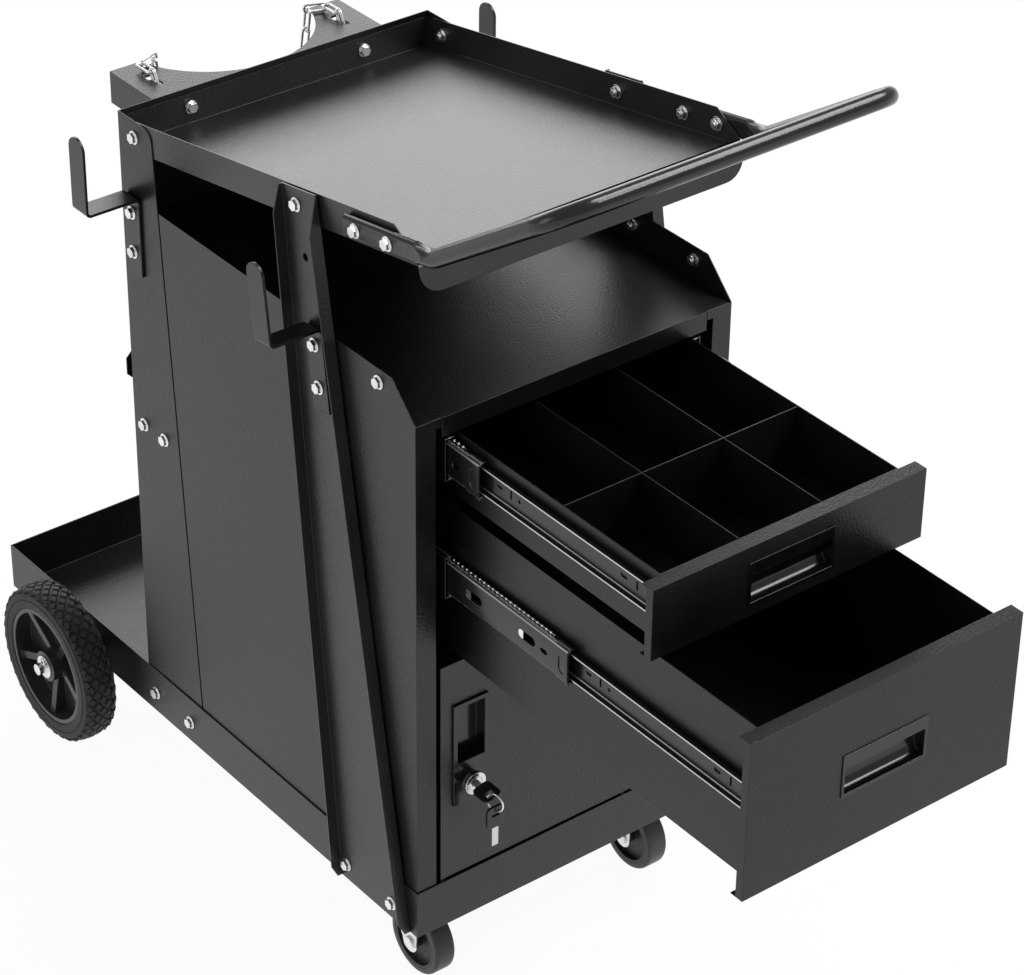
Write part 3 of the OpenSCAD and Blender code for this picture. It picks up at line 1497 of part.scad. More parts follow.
// Spare key: hangs from the bottom of the ring with its blade down
spare_drop = slot_edge + ring_wire_d / 2 + hair;
spare_z = ring_z - ring_r + spare_drop;
module spare_key() {
    color(black) placed() translate([ring_x, ring_y, spare_z])
        rotate([-90, 0, 0]) translate([0, key_gap + bow_l, 0]) key_shape();
}

// Frame bolts: every bolt through the sides, the rear wall and the floor, with its nut
module frame_bolts() {
    color(zinc) placed() {
        both_sides() for (b = side_bolts)
            translate([b[2], b[0], b[1]]) rotate([0, 90, 0]) bolt(b[2] - b[3]);
        for (x = [-back_bolt_x, back_bolt_x])
            translate([x, back_in_y - sheet_t, back_bolt_z]) rotate([90, 0, 0]) bolt(2 * sheet_t + plate_t);
        both_sides() for (p = caster_bolt_places)
            translate([p[0], p[1], floor_z]) bolt(frame_t + plate_t);
    }
}

base_pan();
back_panel();
back_rail();
left_side_panel();
right_side_panel();
cabinet_top();
door_rail();
slide_brackets();
top_tray();
left_strut();
right_strut();
left_front_hook();
left_rear_hook();
right_front_hook();
right_rear_hook();
handle();
tank_bracket();
chain_end_links();
tank_chain();
rear_axle();
axle_brackets();
axle_fittings();
left_tyre();
left_rim();
right_tyre();
right_rim();
caster_plates();
left_caster_fork();
left_caster_axle();
left_caster_tread();
left_caster_core();
right_caster_fork();
right_caster_axle();
right_caster_tread();
right_caster_core();
upper_slide_rails();
upper_slide_middles();
upper_slide_runners();
upper_drawer_box();
upper_drawer_front();
upper_drawer_dividers();
upper_drawer_pull();
upper_drawer_screws();
lower_slide_rails();
lower_slide_middles();
lower_slide_runners();
lower_drawer_box();
lower_drawer_front();
lower_drawer_pull();
lower_drawer_screws();
hinge_brackets();
door_panel();
door_handle_plate();
lock_barrel();
lock_plug();
door_key();
key_ring();
spare_key();
frame_bolts();
strut_spacers();
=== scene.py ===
import math

import bmesh
import bpy
from mathutils import Matrix, Vector


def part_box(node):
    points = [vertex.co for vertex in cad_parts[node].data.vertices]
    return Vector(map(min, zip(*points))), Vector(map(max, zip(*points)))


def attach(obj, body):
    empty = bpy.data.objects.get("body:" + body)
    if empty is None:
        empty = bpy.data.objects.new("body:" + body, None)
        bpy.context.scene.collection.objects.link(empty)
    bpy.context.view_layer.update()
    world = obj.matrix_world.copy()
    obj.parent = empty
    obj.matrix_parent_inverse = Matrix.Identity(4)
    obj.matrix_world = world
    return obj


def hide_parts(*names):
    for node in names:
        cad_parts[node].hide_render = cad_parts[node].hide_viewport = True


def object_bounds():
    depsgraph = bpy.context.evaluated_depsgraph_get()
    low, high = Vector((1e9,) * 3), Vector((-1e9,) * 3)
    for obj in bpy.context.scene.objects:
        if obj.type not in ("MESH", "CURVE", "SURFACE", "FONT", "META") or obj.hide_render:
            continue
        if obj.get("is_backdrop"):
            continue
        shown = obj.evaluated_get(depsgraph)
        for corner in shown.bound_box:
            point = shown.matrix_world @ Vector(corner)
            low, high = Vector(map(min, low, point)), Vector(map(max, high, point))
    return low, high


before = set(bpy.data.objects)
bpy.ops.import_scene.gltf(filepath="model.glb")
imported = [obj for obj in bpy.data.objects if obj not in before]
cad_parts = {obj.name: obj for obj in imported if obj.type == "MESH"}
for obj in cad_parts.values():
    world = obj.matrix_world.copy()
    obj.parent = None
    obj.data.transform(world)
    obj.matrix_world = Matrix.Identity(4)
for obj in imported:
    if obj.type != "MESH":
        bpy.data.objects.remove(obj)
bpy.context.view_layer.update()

# ---- Camera
# It stands where the photograph was taken, in the part's own frame, in metres. Its long lens
# is shifted a little, because the photograph is a cropped one.
CAMERA_PLACE = (-1.7226, -2.2439, 2.3071)
CAMERA_RIGHT = (0.7928, -0.6095, 0.0059)
CAMERA_UP = (0.3289, 0.4359, 0.8377)
CAMERA_BACK = (-0.5132, -0.6622, 0.5460)
SENSOR_WIDTH, LENS_LENGTH = 36.0, 123.48
LENS_SHIFT = (0.0293, -0.00515)
NEAREST_SEEN, FURTHEST_SEEN = 0.1, 60.0


def put(name, data):
    """A new object in the scene."""
    thing = bpy.data.objects.new(name, data)
    bpy.context.scene.collection.objects.link(thing)
    return thing


camera_data = bpy.data.cameras.new("camera")
camera = put("camera", camera_data)
camera_turn = Matrix((CAMERA_RIGHT, CAMERA_UP, CAMERA_BACK)).transposed()
camera.matrix_world = Matrix.Translation(CAMERA_PLACE) @ camera_turn.to_4x4()
camera_data.sensor_width, camera_data.lens = SENSOR_WIDTH, LENS_LENGTH
camera_data.shift_x, camera_data.shift_y = LENS_SHIFT
camera_data.clip_start, camera_data.clip_end = NEAREST_SEEN, FURTHEST_SEEN
bpy.context.scene.camera = camera
bpy.context.scene.view_settings.view_transform = "Standard"


# ---- Studio
# A white seamless floor and soft boxes, as in a product studio: a wide one behind the cart,
# which the tray and the bottle bracket mirror, and others overhead, at the front and on the left.
class Board:
    """A node tree that nodes are added to."""

    def __init__(self, tree):
        self.tree = tree

    def add(self, kind, settings=None, sockets=None):
        """A node of a kind, with its settings, then its sockets' values or the wires into them."""
        node = self.tree.nodes.new(kind)
        for name, value in (settings or {}).items():
            setattr(node, name, value)
        for name, value in (sockets or {}).items():
            self.plug(value, node.inputs[name])
        return Wire(self, node, 0)

    def plug(self, value, socket):
        if isinstance(value, Wire):
            self.tree.links.new(value.node.outputs[value.end], socket)
        else:
            socket.default_value = value


class Wire:
    """One output of a node. Sums, products and so on of wires add Math nodes."""

    def __init__(self, board, node, end):
        self.board, self.node, self.end = board, node, end

    def __getitem__(self, end):
        return Wire(self.board, self.node, end)

    def math(self, operation, *values):
        sockets = dict(enumerate((self, *values)))
        return self.board.add("ShaderNodeMath", {"operation": operation}, sockets)

    def __add__(self, other):
        return self.math("ADD", other)

    __radd__ = __add__

    def __sub__(self, other):
        return self.math("SUBTRACT", other)

    def __rsub__(self, other):
        return self.board.add("ShaderNodeMath", {"operation": "SUBTRACT"}, {0: other, 1: self})

    def __mul__(self, other):
        return self.math("MULTIPLY", other)

    __rmul__ = __mul__

    def __truediv__(self, other):
        return self.math("DIVIDE", other)

    def ramp(self, low, high):
        """0 where the wire is at low or under, 1 at high or over."""
        sockets = {"Value": self, "From Min": low, "From Max": high}
        return self.board.add("ShaderNodeMapRange", None, sockets)


class Finish(Board):
    """A new material. Its shader's constants are set by name, what varies is plugged in."""

    def __init__(self, name, **constants):
        self.material = bpy.data.materials.new(name)
        self.material.use_nodes = True
        super().__init__(self.material.node_tree)
        self.shader = self.tree.nodes["Principled BSDF"]
        for socket, value in constants.items():
            self.shader.inputs[socket.replace("_", " ")].default_value = value

    def give(self, socket, value):
        self.plug(value, self.shader.inputs[socket])


FLOOR_COLOUR = (0.82, 0.82, 0.82, 1)
FLOOR_ROUGHNESS = 0.9
FLOOR_GLOW_SHARE = 0.95
FLOOR_REACH = 14.0
FLOOR_CORNERS = ((-1, -1), (1, -1), (1, 1), (-1, 1))
ROOM_GLOW = 0.5

floor_finish = Finish("studio_floor", Base_Color=FLOOR_COLOUR, Roughness=FLOOR_ROUGHNESS)
path = floor_finish.add("ShaderNodeLightPath")
mirrored = path["Is Camera Ray"].math("MAXIMUM", path["Is Glossy Ray"])
seen = mirrored.math("MAXIMUM", path["Is Transmission Ray"])
glow = floor_finish.add("ShaderNodeEmission")
shaded = Wire(floor_finish, floor_finish.shader, 0)
lit = floor_finish.add("ShaderNodeMixShader", None, {0: seen * FLOOR_GLOW_SHARE, 1: shaded, 2: glow})
floor_finish.plug(lit, floor_finish.tree.nodes["Material Output"].inputs["Surface"])

floor_mesh = bpy.data.meshes.new("studio_floor")
floor_mesh.from_pydata([(x * FLOOR_REACH, y * FLOOR_REACH, 0) for x, y in FLOOR_CORNERS],
                       [], [(0, 1, 2, 3)])
floor_mesh.materials.append(floor_finish.material)
studio_floor = put("studio_floor", floor_mesh)
studio_floor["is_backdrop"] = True

world = bpy.data.worlds.new("studio")
bpy.context.scene.world = world
world.use_nodes = True
room = world.node_tree.nodes["Background"]
room.inputs["Color"].default_value = (1, 1, 1, 1)
room.inputs["Strength"].default_value = ROOM_GLOW


def soft_box(name, place, target, width, height, power):
    """A rectangular soft box that faces its target."""
    data = bpy.data.lights.new(name, "AREA")
    data.shape, data.size, data.size_y, data.energy = "RECTANGLE", width, height, power
    box = put(name, data)
    turn = (Vector(target) - Vector(place)).to_track_quat("-Z", "Y")
    box.matrix_world = Matrix.Translation(place) @ turn.to_matrix().to_4x4()
    box.visible_camera = False


soft_box("back_box", place=(1.3, 2.85, 1.75), target=(0.0, 0.1, 0.7), width=3.5, height=1.9, power=60)
soft_box("top_box", place=(2.0, -0.7, 3.45), target=(0.05, -0.3, 0.9), width=1.3, height=2.0, power=72)
soft_box("front_box", place=(1.45, -1.5, 2.7), target=(0.0, -0.1, 0.7), width=0.6, height=0.6, power=12)
soft_box("left_box", place=(-3.0, 0.6, 1.6), target=(0.0, 0.0, 0.4), width=1.6, height=1.6, power=14)


# ---- Base pan
# One sheet of 1.5 mm steel, folded up on four sides and welded at its corners, then powder
# coated black. The baked powder leaves a semi-gloss coat with a fine pebble, like orange peel.
def grain(board, scale, detail=2.0, stretch=(1, 1, 1)):
    """Noise from 0 to 1 on Object coordinates, with its scale per metre."""
    place = board.add("ShaderNodeTexCoord")["Object"]
    at = board.add("ShaderNodeMapping", None, {"Vector": place, "Scale": stretch})
    return board.add("ShaderNodeTexNoise", None, {"Vector": at, "Scale": scale, "Detail": detail})


def colour_between(board, factor, low, high):
    """The colour runs from low to high, colours or wires, as the factor goes from 0 to 1."""
    low, high = (end if isinstance(end, Wire) else (*end, 1) for end in (low, high))
    return board.add("ShaderNodeMix", {"data_type": "RGBA"}, {0: factor, 6: low, 7: high})[2]


def relief(finish, height, depth):
    """The surface stands up by the depth where the height is 1."""
    bump = finish.add("ShaderNodeBump", None, {"Height": height, "Distance": depth})
    finish.give("Normal", bump["Normal"])


COAT_LOW, COAT_HIGH = (0.003, 0.003, 0.0034), (0.009, 0.009, 0.0095)
FINE_SCALE, PEBBLE_SCALE, CLOUD_SCALE = 1100.0, 430.0, 9.0
SHARP_ANGLE, FLAT_ANGLE = math.radians(35), math.radians(0.3)
WELD_REACH = 0.000002


def powder_coat(name, roughness, pebble, gloss=0.5, low=COAT_LOW, high=COAT_HIGH):
    """Black powder coat with its pebble's height in metres."""
    coat = Finish(name, Specular_IOR_Level=gloss)
    fine, broad = grain(coat, FINE_SCALE), grain(coat, PEBBLE_SCALE, 1.0)
    cloud = grain(coat, CLOUD_SCALE, 3.0)
    coat.give("Base Color", colour_between(coat, cloud.ramp(0.3, 0.7), low, high))
    coat.give("Roughness", cloud * 0.06 + fine * 0.08 + (roughness - 0.07))
    relief(coat, broad * 0.75 + fine * 0.25, pebble)
    return coat.material


def node_group(name, **sizes):
    """A Geometry Nodes tree with a named input for each size."""
    board = Board(bpy.data.node_groups.new(name, "GeometryNodeTree"))
    new_socket = board.tree.interface.new_socket
    new_socket("Geometry", in_out="INPUT", socket_type="NodeSocketGeometry")
    new_socket("Geometry", in_out="OUTPUT", socket_type="NodeSocketGeometry")
    kinds = {int: "NodeSocketInt", float: "NodeSocketFloat", tuple: "NodeSocketVector"}
    for size, value in sizes.items():
        new_socket(size, in_out="INPUT", socket_type=kinds[type(value)]).default_value = value
    return board, board.add("NodeGroupInput")


def smooth_by_angle():
    """A modifier tree that shades smooth, but for the sharp edges."""
    board, piece = node_group("smooth_by_angle")
    smooth = board.add("GeometryNodeSetShadeSmooth", None, {"Geometry": piece})
    angle = board.add("GeometryNodeInputMeshEdgeAngle")["Unsigned Angle"]
    wide = board.add("FunctionNodeCompare", {"operation": "GREATER_THAN"}, {0: angle, 1: SHARP_ANGLE})
    sharp = board.add("GeometryNodeSetShadeSmooth", {"domain": "EDGE"},
                      {"Geometry": smooth, "Selection": wide, "Shade Smooth": False})
    board.add("NodeGroupOutput", None, {0: sharp})
    return board.tree


by_angle = smooth_by_angle()


def finish_edges(piece, round_off, segments=2):
    """Smooth shading between the sharp edges, which are rounded off."""
    piece.modifiers.new("smooth", "NODES").node_group = by_angle
    if round_off:
        bevel = piece.modifiers.new("round_off", "BEVEL")
        bevel.width, bevel.segments, bevel.limit_method = round_off, segments, "ANGLE"
        bevel.angle_limit = SHARP_ANGLE
        bevel.harden_normals = True
        bevel.use_clamp_overlap = False


def dress(material, *nodes, round_off=0.0004, segments=2):
    """CAD nodes keep their shape and get their finish and rounded edges."""
    for name in nodes:
        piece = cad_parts[name]
        piece.data.materials.clear()
        piece.data.materials.append(material)
        piece.modifiers.new("weld", "WELD").merge_threshold = WELD_REACH
        flat = piece.modifiers.new("flat_faces", "DECIMATE")
        flat.decimate_type, flat.angle_limit = "DISSOLVE", FLAT_ANGLE
        finish_edges(piece, round_off, segments)


pan_coat = powder_coat("pan_coat", 0.34, 0.0004)
dress(pan_coat, "base_pan", round_off=0.0005)


# ---- Cabinet
# Folded and spot-welded 1.2 mm sheet: the back panel with its two forward flanges, the side
# panels with the front stiles, the top, the rail over the door and the slides' brackets.
cabinet_coat = powder_coat("cabinet_coat", 0.34, 0.00035, gloss=0.44)
dress(cabinet_coat, "back_panel", "left_side_panel", "right_side_panel", "cabinet_top", "door_rail",
      "back_rail", "slide_brackets")


# ---- Top tray and struts
# The sloping tray is one folded sheet with an apron in front, bolted to the back panel's flanges
# and to two leaning struts of folded sheet, with spacer tubes behind them. Its floor is a little
# coarser than the cabinet, so it mirrors the room as a soft grey; its base colour is painted lighter as well,
# as painted light on its walls.
# Painted light: this black coat's base colour is lighter than the other coats', standing in for the sheen the
# tray's walls mirror.
tray_coat = powder_coat("tray_coat", 0.31, 0.0004, low=(0.010, 0.010, 0.0104), high=(0.022, 0.022, 0.0225))
dress(tray_coat, "top_tray", "left_strut", "right_strut")
dress(cabinet_coat, "strut_spacers")


# ---- Push handle
# A 17 mm steel tube bent at both corners, its ends pressed flat and bolted to the tray's sides.
# Its powder coat is glossier than the sheets'.
handle_coat = powder_coat("handle_coat", 0.2, 0.00012)
dress(handle_coat, "handle", round_off=0)


# ---- Cable hooks
# Four straps of 3 mm steel, bent to an arm and an upturned round tip, bolted flat to the flanges
# at the rear and to the struts at the front.
hook_coat = powder_coat("hook_coat", 0.32, 0.00018)
dress(hook_coat, "left_front_hook", "left_rear_hook", "right_front_hook", "right_rear_hook",
      round_off=0.0006)


# ---- Gas bottle bracket and its chain
# A folded shelf with a round cut-out for the bottle, bolted to the back panel. A bright zinc
# plated welded chain hangs from the keyhole slots, where its last links are hooked in.
bracket_coat = powder_coat("bracket_coat", 0.34, 0.0004)
dress(bracket_coat, "tank_bracket")


DULL_SHARE = 0.82


def zinc_plate(name, roughness, colour=(0.86, 0.87, 0.88)):
    """Bright plate: its colour and polish vary a little, with faint drag marks."""
    zinc = Finish(name, Metallic=1.0)
    cloud, fine = grain(zinc, 60.0, 3.0), grain(zinc, 900.0)
    dull = tuple(DULL_SHARE * part for part in colour)
    zinc.give("Base Color", colour_between(zinc, cloud.ramp(0.35, 0.65), dull, colour))
    zinc.give("Roughness", cloud * 0.16 + fine * 0.06 + (roughness - 0.11))
    relief(zinc, fine, 0.00003)
    return zinc.material


chain_zinc = zinc_plate("chain_zinc", 0.26)
dress(chain_zinc, "chain_end_links", "tank_chain", round_off=0)


# ---- Rear axle
# A 12.7 mm bright rod in two black angles under the pan. A spacer tube, a washer and a cotter pin
# keep each wheel in its place.
axle_zinc = zinc_plate("axle_zinc", 0.24)
dress(axle_zinc, "rear_axle", "axle_fittings", round_off=0.0003)
dress(pan_coat, "axle_brackets")


# ---- Rear wheels
# Solid 7 inch rubber tyres, pressed on black moulded rims with a deep dish and broad ribs. The
# tyre's sides are plain, with a groove line; its tread is diamonds that stand in staggered rows.
rim_plastic = Finish("rim_plastic")
mould, fine = grain(rim_plastic, 25.0, 3.0), grain(rim_plastic, 700.0)
rim_plastic.give("Base Color", colour_between(rim_plastic, mould.ramp(0.3, 0.7), (0.018, 0.018, 0.0185),
                                              (0.032, 0.032, 0.0325)))
rim_plastic.give("Roughness", mould * 0.12 + fine * 0.05 + 0.26)
relief(rim_plastic, fine, 0.00003)
dress(rim_plastic.material, "left_rim", "right_rim", round_off=0.0008, segments=3)


RUBBER_GLOSS = 0.35


def rubber(name, low, high, roughness):
    """Vulcanised rubber: greyish black, dull, with scuffs where dust has settled."""
    finish = Finish(name, Specular_IOR_Level=RUBBER_GLOSS)
    scuff, fine = grain(finish, 45.0, 4.0), grain(finish, 1500.0)
    finish.give("Base Color", colour_between(finish, scuff.ramp(0.35, 0.7), low, high))
    finish.give("Roughness", scuff * 0.15 + (roughness - 0.08))
    relief(finish, fine * 0.6 + scuff * 0.4, 0.00008)
    return finish.material


tyre_rubber = rubber("tyre_rubber", (0.012, 0.012, 0.0125), (0.028, 0.028, 0.029), 0.6)


def new_piece(name, mesh, material, body, slot, *replaced):
    """A finished mesh becomes a piece on a body, in place of CAD nodes; its record slot is not used."""
    piece = put(name, mesh)
    mesh.materials.clear()
    mesh.materials.append(material)
    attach(piece, body)
    if replaced:
        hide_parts(*replaced)
    return piece


def mesh_of(work, name):
    """The shape that was worked on becomes a mesh."""
    mesh = bpy.data.meshes.new(name)
    work.to_mesh(mesh)
    work.free()
    return mesh


def turned(name, outline, steps):
    """A closed outline of (radius, x) turned round the X axis, with its faces outwards."""
    work = bmesh.new()
    rings = [[work.verts.new((x, r * math.cos(a), r * math.sin(a))) for r, x in outline]
             for a in (2 * math.pi * step / steps for step in range(steps))]
    for ring, after in zip(rings, rings[1:] + rings[:1]):
        for k in range(len(outline)):
            j = (k + 1) % len(outline)
            work.faces.new((ring[k], ring[j], after[j], after[k]))
    bmesh.ops.recalc_face_normals(work, faces=work.faces)
    return mesh_of(work, name)


def arc(middle, radius, start, end, steps):
    """Points on an arc, from one angle in degrees to another."""
    angles = [math.radians(start + (end - start) * step / steps) for step in range(steps + 1)]
    return [(middle[0] + radius * math.cos(a), middle[1] + radius * math.sin(a)) for a in angles]


TYRE_RADIUS, CROWN_RADIUS, TREAD_RADIUS, TREAD_DEPTH = 0.089, 0.0471, 0.0888, 0.0024
CROWN_END, CROWN_STEPS, TYRE_STEPS = 20.5, 8, 96
SHOULDER_RADIUS, SHOULDER_X, SIDE_RADIUS, SIDE_X = 0.0822, 0.0184, 0.0808, 0.0187
GROOVE_RADIUS, GROOVE_MOUTH, GROOVE_FLOOR, GROOVE_X = 0.0757, 0.0011, 0.0004, 0.0178
FLANK_RADIUS, FLANK_X, BEAD_RADIUS = 0.0668, 0.0188, 0.0662


def carcass_outline():
    """The tyre's section under its tread, as (radius, x): crown, side with its groove, bead."""
    crown = arc((TYRE_RADIUS - CROWN_RADIUS, 0), CROWN_RADIUS - TREAD_DEPTH, 0, CROWN_END, CROWN_STEPS)
    side = [(SHOULDER_RADIUS, SHOULDER_X), (SIDE_RADIUS, SIDE_X), (GROOVE_RADIUS + GROOVE_MOUTH, SIDE_X),
            (GROOVE_RADIUS + GROOVE_FLOOR, GROOVE_X), (GROOVE_RADIUS - GROOVE_FLOOR, GROOVE_X),
            (GROOVE_RADIUS - GROOVE_MOUTH, FLANK_X), (FLANK_RADIUS, FLANK_X)]
    outer = crown + side + [(BEAD_RADIUS, SHOULDER_X)]
    return outer + [(r, -x) for r, x in reversed(outer[1:])]


def end_group(board, instances, material):
    """The tree ends in real geometry with its material."""
    real = board.add("GeometryNodeRealizeInstances", None, {"Geometry": instances})
    board.add("NodeGroupOutput", None, {0: board.add("GeometryNodeSetMaterial", None,
                                                     {"Geometry": real, "Material": material})})
    return board.tree


def as_modified(piece):
    """A new mesh: the piece with its modifiers worked in."""
    depsgraph = bpy.context.evaluated_depsgraph_get()
    return bpy.data.meshes.new_from_object(piece.evaluated_get(depsgraph))


def grown(tree, name, **sizes):
    """The plain mesh that a Geometry Nodes tree makes with these sizes."""
    seed = put(name, bpy.data.meshes.new(name))
    modifier = seed.modifiers.new(name, "NODES")
    modifier.node_group = tree
    names = {item.name: item.identifier for item in tree.interface.items_tree if item.in_out == "INPUT"}
    for size, value in sizes.items():
        modifier[names[size]] = value
    mesh = as_modified(seed)
    bpy.data.objects.remove(seed)
    return mesh


def tread_tree(material):
    """Rows of diamond blocks round a crowned drum on the X axis; the stagger turns each row on."""
    board, size = node_group("tread", around=36, rows=5, row_pitch=0.0064, stagger=0.5, phase=0.0,
                             lean=0.0, crown=CROWN_RADIUS, radius=TREAD_RADIUS,
                             block=(0.0052, 0.0063, TREAD_DEPTH), top_share=0.72)
    points = board.add("GeometryNodePoints", None, {"Count": size["around"] * size["rows"]})
    index = board.add("GeometryNodeInputIndex")
    row = (index / size["around"]).math("FLOOR")
    x = (row - (size["rows"] - 1) * 0.5) * size["row_pitch"]
    part_turn = (row * size["stagger"] + size["phase"]).math("FRACT")
    angle = (index + part_turn) / size["around"] * (2 * math.pi)
    tilt = (x / size["crown"]).math("ARCSINE") + x.math("SIGN") * size["lean"]
    top = (size["crown"] * size["crown"] - x * x).math("SQRT") + size["radius"] - size["crown"]
    depth = board.add("ShaderNodeSeparateXYZ", None, {0: size["block"]})["Z"]
    foot = top - depth * tilt.math("COSINE")
    place = board.add("ShaderNodeCombineXYZ", None, {
        0: x - depth * tilt.math("SINE"), 1: foot * angle.math("COSINE"), 2: foot * angle.math("SINE")})
    upright = board.add("ShaderNodeCombineXYZ", None, {1: tilt})
    round_drum = board.add("ShaderNodeCombineXYZ", None, {0: angle - math.pi / 2})
    facing = board.add("FunctionNodeRotateRotation", {"rotation_space": "GLOBAL"},
                       {0: board.add("FunctionNodeEulerToRotation", None, {0: upright}),
                        1: board.add("FunctionNodeEulerToRotation", None, {0: round_drum})})
    diamond = board.add("GeometryNodeMeshCone", None, {"Vertices": 4, "Radius Top": size["top_share"],
                                                       "Radius Bottom": 1.0, "Depth": 1.0})
    placed = board.add("GeometryNodeSetPosition", None, {"Geometry": points, "Position": place})
    blocks = board.add("GeometryNodeInstanceOnPoints", None, {"Points": placed, "Instance": diamond,
                                                              "Rotation": facing, "Scale": size["block"]})
    return end_group(board, blocks, material)


def joined(name, *meshes):
    """Several meshes as one."""
    work = bmesh.new()
    for mesh in meshes:
        work.from_mesh(mesh)
    return mesh_of(work, name)


tread = tread_tree(tyre_rubber)
for side in ("left", "right"):
    low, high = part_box(side + "_tyre")
    rows = grown(tread, "rows")
    shoulders = grown(tread, "shoulders", rows=2, row_pitch=0.0332, stagger=0.0, phase=0.5,
                      lean=math.radians(28), block=(0.004, 0.0063, TREAD_DEPTH))
    carcass = turned("carcass", carcass_outline(), TYRE_STEPS)
    tyre = joined(side + "_rubber_tyre", carcass, rows, shoulders)
    tyre.transform(Matrix.Translation([(low[k] + high[k]) / 2 for k in range(3)]))
    piece = new_piece(side + "_rubber_tyre", tyre, tyre_rubber, side + "_wheel", "tyre_rubber",
                      side + "_tyre")
    finish_edges(piece, 0.0003)


# ---- Casters
# Plates, races and forks of bright zinc plated steel. The 3 inch wheels have a black plastic
# core, dished on both sides, with a smooth dark tread moulded round it.
caster_zinc = zinc_plate("caster_zinc", 0.3)
dress(caster_zinc, "caster_plates", "left_caster_fork", "right_caster_fork", "left_caster_axle",
      "right_caster_axle", round_off=0.0005)
caster_core = Finish("caster_core", Roughness=0.5)
mould = grain(caster_core, 120.0, 3.0)
caster_core.give("Base Color", colour_between(caster_core, mould.ramp(0.3, 0.7), (0.012, 0.012, 0.0125),
                                              (0.024, 0.024, 0.0245)))
relief(caster_core, mould, 0.00006)
dress(caster_core.material, "left_caster_core", "right_caster_core", round_off=0.0006)
# Painted reflection: the tread's base colour is a lighter grey than the tyres', standing in for the bright
# floor its sides mirror.
caster_rubber = rubber("caster_rubber", (0.04, 0.04, 0.041), (0.065, 0.065, 0.066), 0.4)
dress(caster_rubber, "left_caster_tread", "right_caster_tread", round_off=0)


# ---- Drawer slides
# Three-member telescopic ball slides, 45 mm high, of rolled steel sheet with a thin black coat.
# The middle members have windows and a stop clip at the front end. Bare bright steel is painted on
# the rolled shoulders and sheared edges as painted highlight lines, and small zinc screws hold the drawer
# members.
# Painted highlight: bare bright steel is painted within this reach of the lips' sheared edges, and in this
# colour.
SHEARED_X, EDGE_HIGHLIGHT_REACH = 0.1424, 0.0011
HIGHLIGHT_STEEL = (0.75, 0.75, 0.76)
slide_black = Finish("slide_black")
drawn, fine = grain(slide_black, 40.0, 3.0, (40, 0.6, 40)), grain(slide_black, 900.0)
at = slide_black.add("ShaderNodeSeparateXYZ", None, {0: slide_black.add("ShaderNodeTexCoord")["Object"]})
facing = slide_black.add("ShaderNodeSeparateXYZ", None, {0: slide_black.add("ShaderNodeNewGeometry")["Normal"]})
# Painted highlight masks: faces whose normal leans about halfway up or down (the rolled shoulders), and the
# sheared edges.
shoulder_highlight = (1 - (facing["Z"].math("ABSOLUTE") - 0.5).math("ABSOLUTE") * 4).math("MAXIMUM", 0)
edge_highlight = (at["X"].math("ABSOLUTE") - SHEARED_X).math("ABSOLUTE").math("LESS_THAN", EDGE_HIGHLIGHT_REACH)
painted_highlight = shoulder_highlight.math("MAXIMUM", edge_highlight) * (drawn * 0.5 + 0.6)
coated = colour_between(slide_black, drawn.ramp(0.3, 0.7), (0.006, 0.006, 0.0065), (0.013, 0.013, 0.014))
slide_black.give("Base Color", colour_between(slide_black, painted_highlight, coated, HIGHLIGHT_STEEL))
slide_black.give("Metallic", painted_highlight)
slide_black.give("Roughness", drawn * 0.1 + fine * 0.05 + 0.16)
relief(slide_black, drawn * 0.7 + fine * 0.3, 0.00002)
dress(slide_black.material, "upper_slide_rails", "lower_slide_rails")

SLIDE_SHEET, SLIDE_ROLL = 0.0014, 0.0034
WEB_RUNNER, EDGE_RUNNER, HIGH_RUNNER = 0.135, 0.1418, 0.028
WEB_MIDDLE, EDGE_MIDDLE, HIGH_MIDDLE = 0.1452, 0.137, 0.036


def rolled_channel(web, edge, height, sheet, roll):
    """A channel's section as (x, z): its web at one x, its lips' ends at another."""
    deep, half, way = abs(edge - web), height / 2, math.copysign(1, edge - web)
    low, high = (roll, roll - half), (roll, half - roll)
    section = [(deep, -half), *arc(low, roll, 270, 180, 6), *arc(high, roll, 180, 90, 6),
               (deep, half), (deep, half - sheet), *arc(high, roll - sheet, 90, 180, 5),
               *arc(low, roll - sheet, 180, 270, 5), (deep, sheet - half)]
    return [(web + way * u, z) for u, z in section]


def drawn_out(name, section, start, end, side=1):
    """A section in X and Z, drawn out along Y on one side of the cart, with its faces outwards."""
    work = bmesh.new()
    rings = [[work.verts.new((side * x, y, z)) for x, z in section] for y in (start, end)]
    for k in range(len(section)):
        j = (k + 1) % len(section)
        work.faces.new((rings[0][k], rings[0][j], rings[1][j], rings[1][k]))
    for ring in rings:
        work.faces.new(ring)
    bmesh.ops.recalc_face_normals(work, faces=work.faces)
    return mesh_of(work, name)


def cut_by(mesh, cutters):
    """The mesh with the cutters' shapes taken out of it."""
    body, tool = put("cut", mesh), put("cut", joined("cutters", *cutters))
    cut = body.modifiers.new("cut", "BOOLEAN")
    cut.operation, cut.solver, cut.object = "DIFFERENCE", "EXACT", tool
    result = as_modified(body)
    for piece in (body, tool):
        bpy.data.objects.remove(piece)
    return result


CUTTER_HALF = 0.003


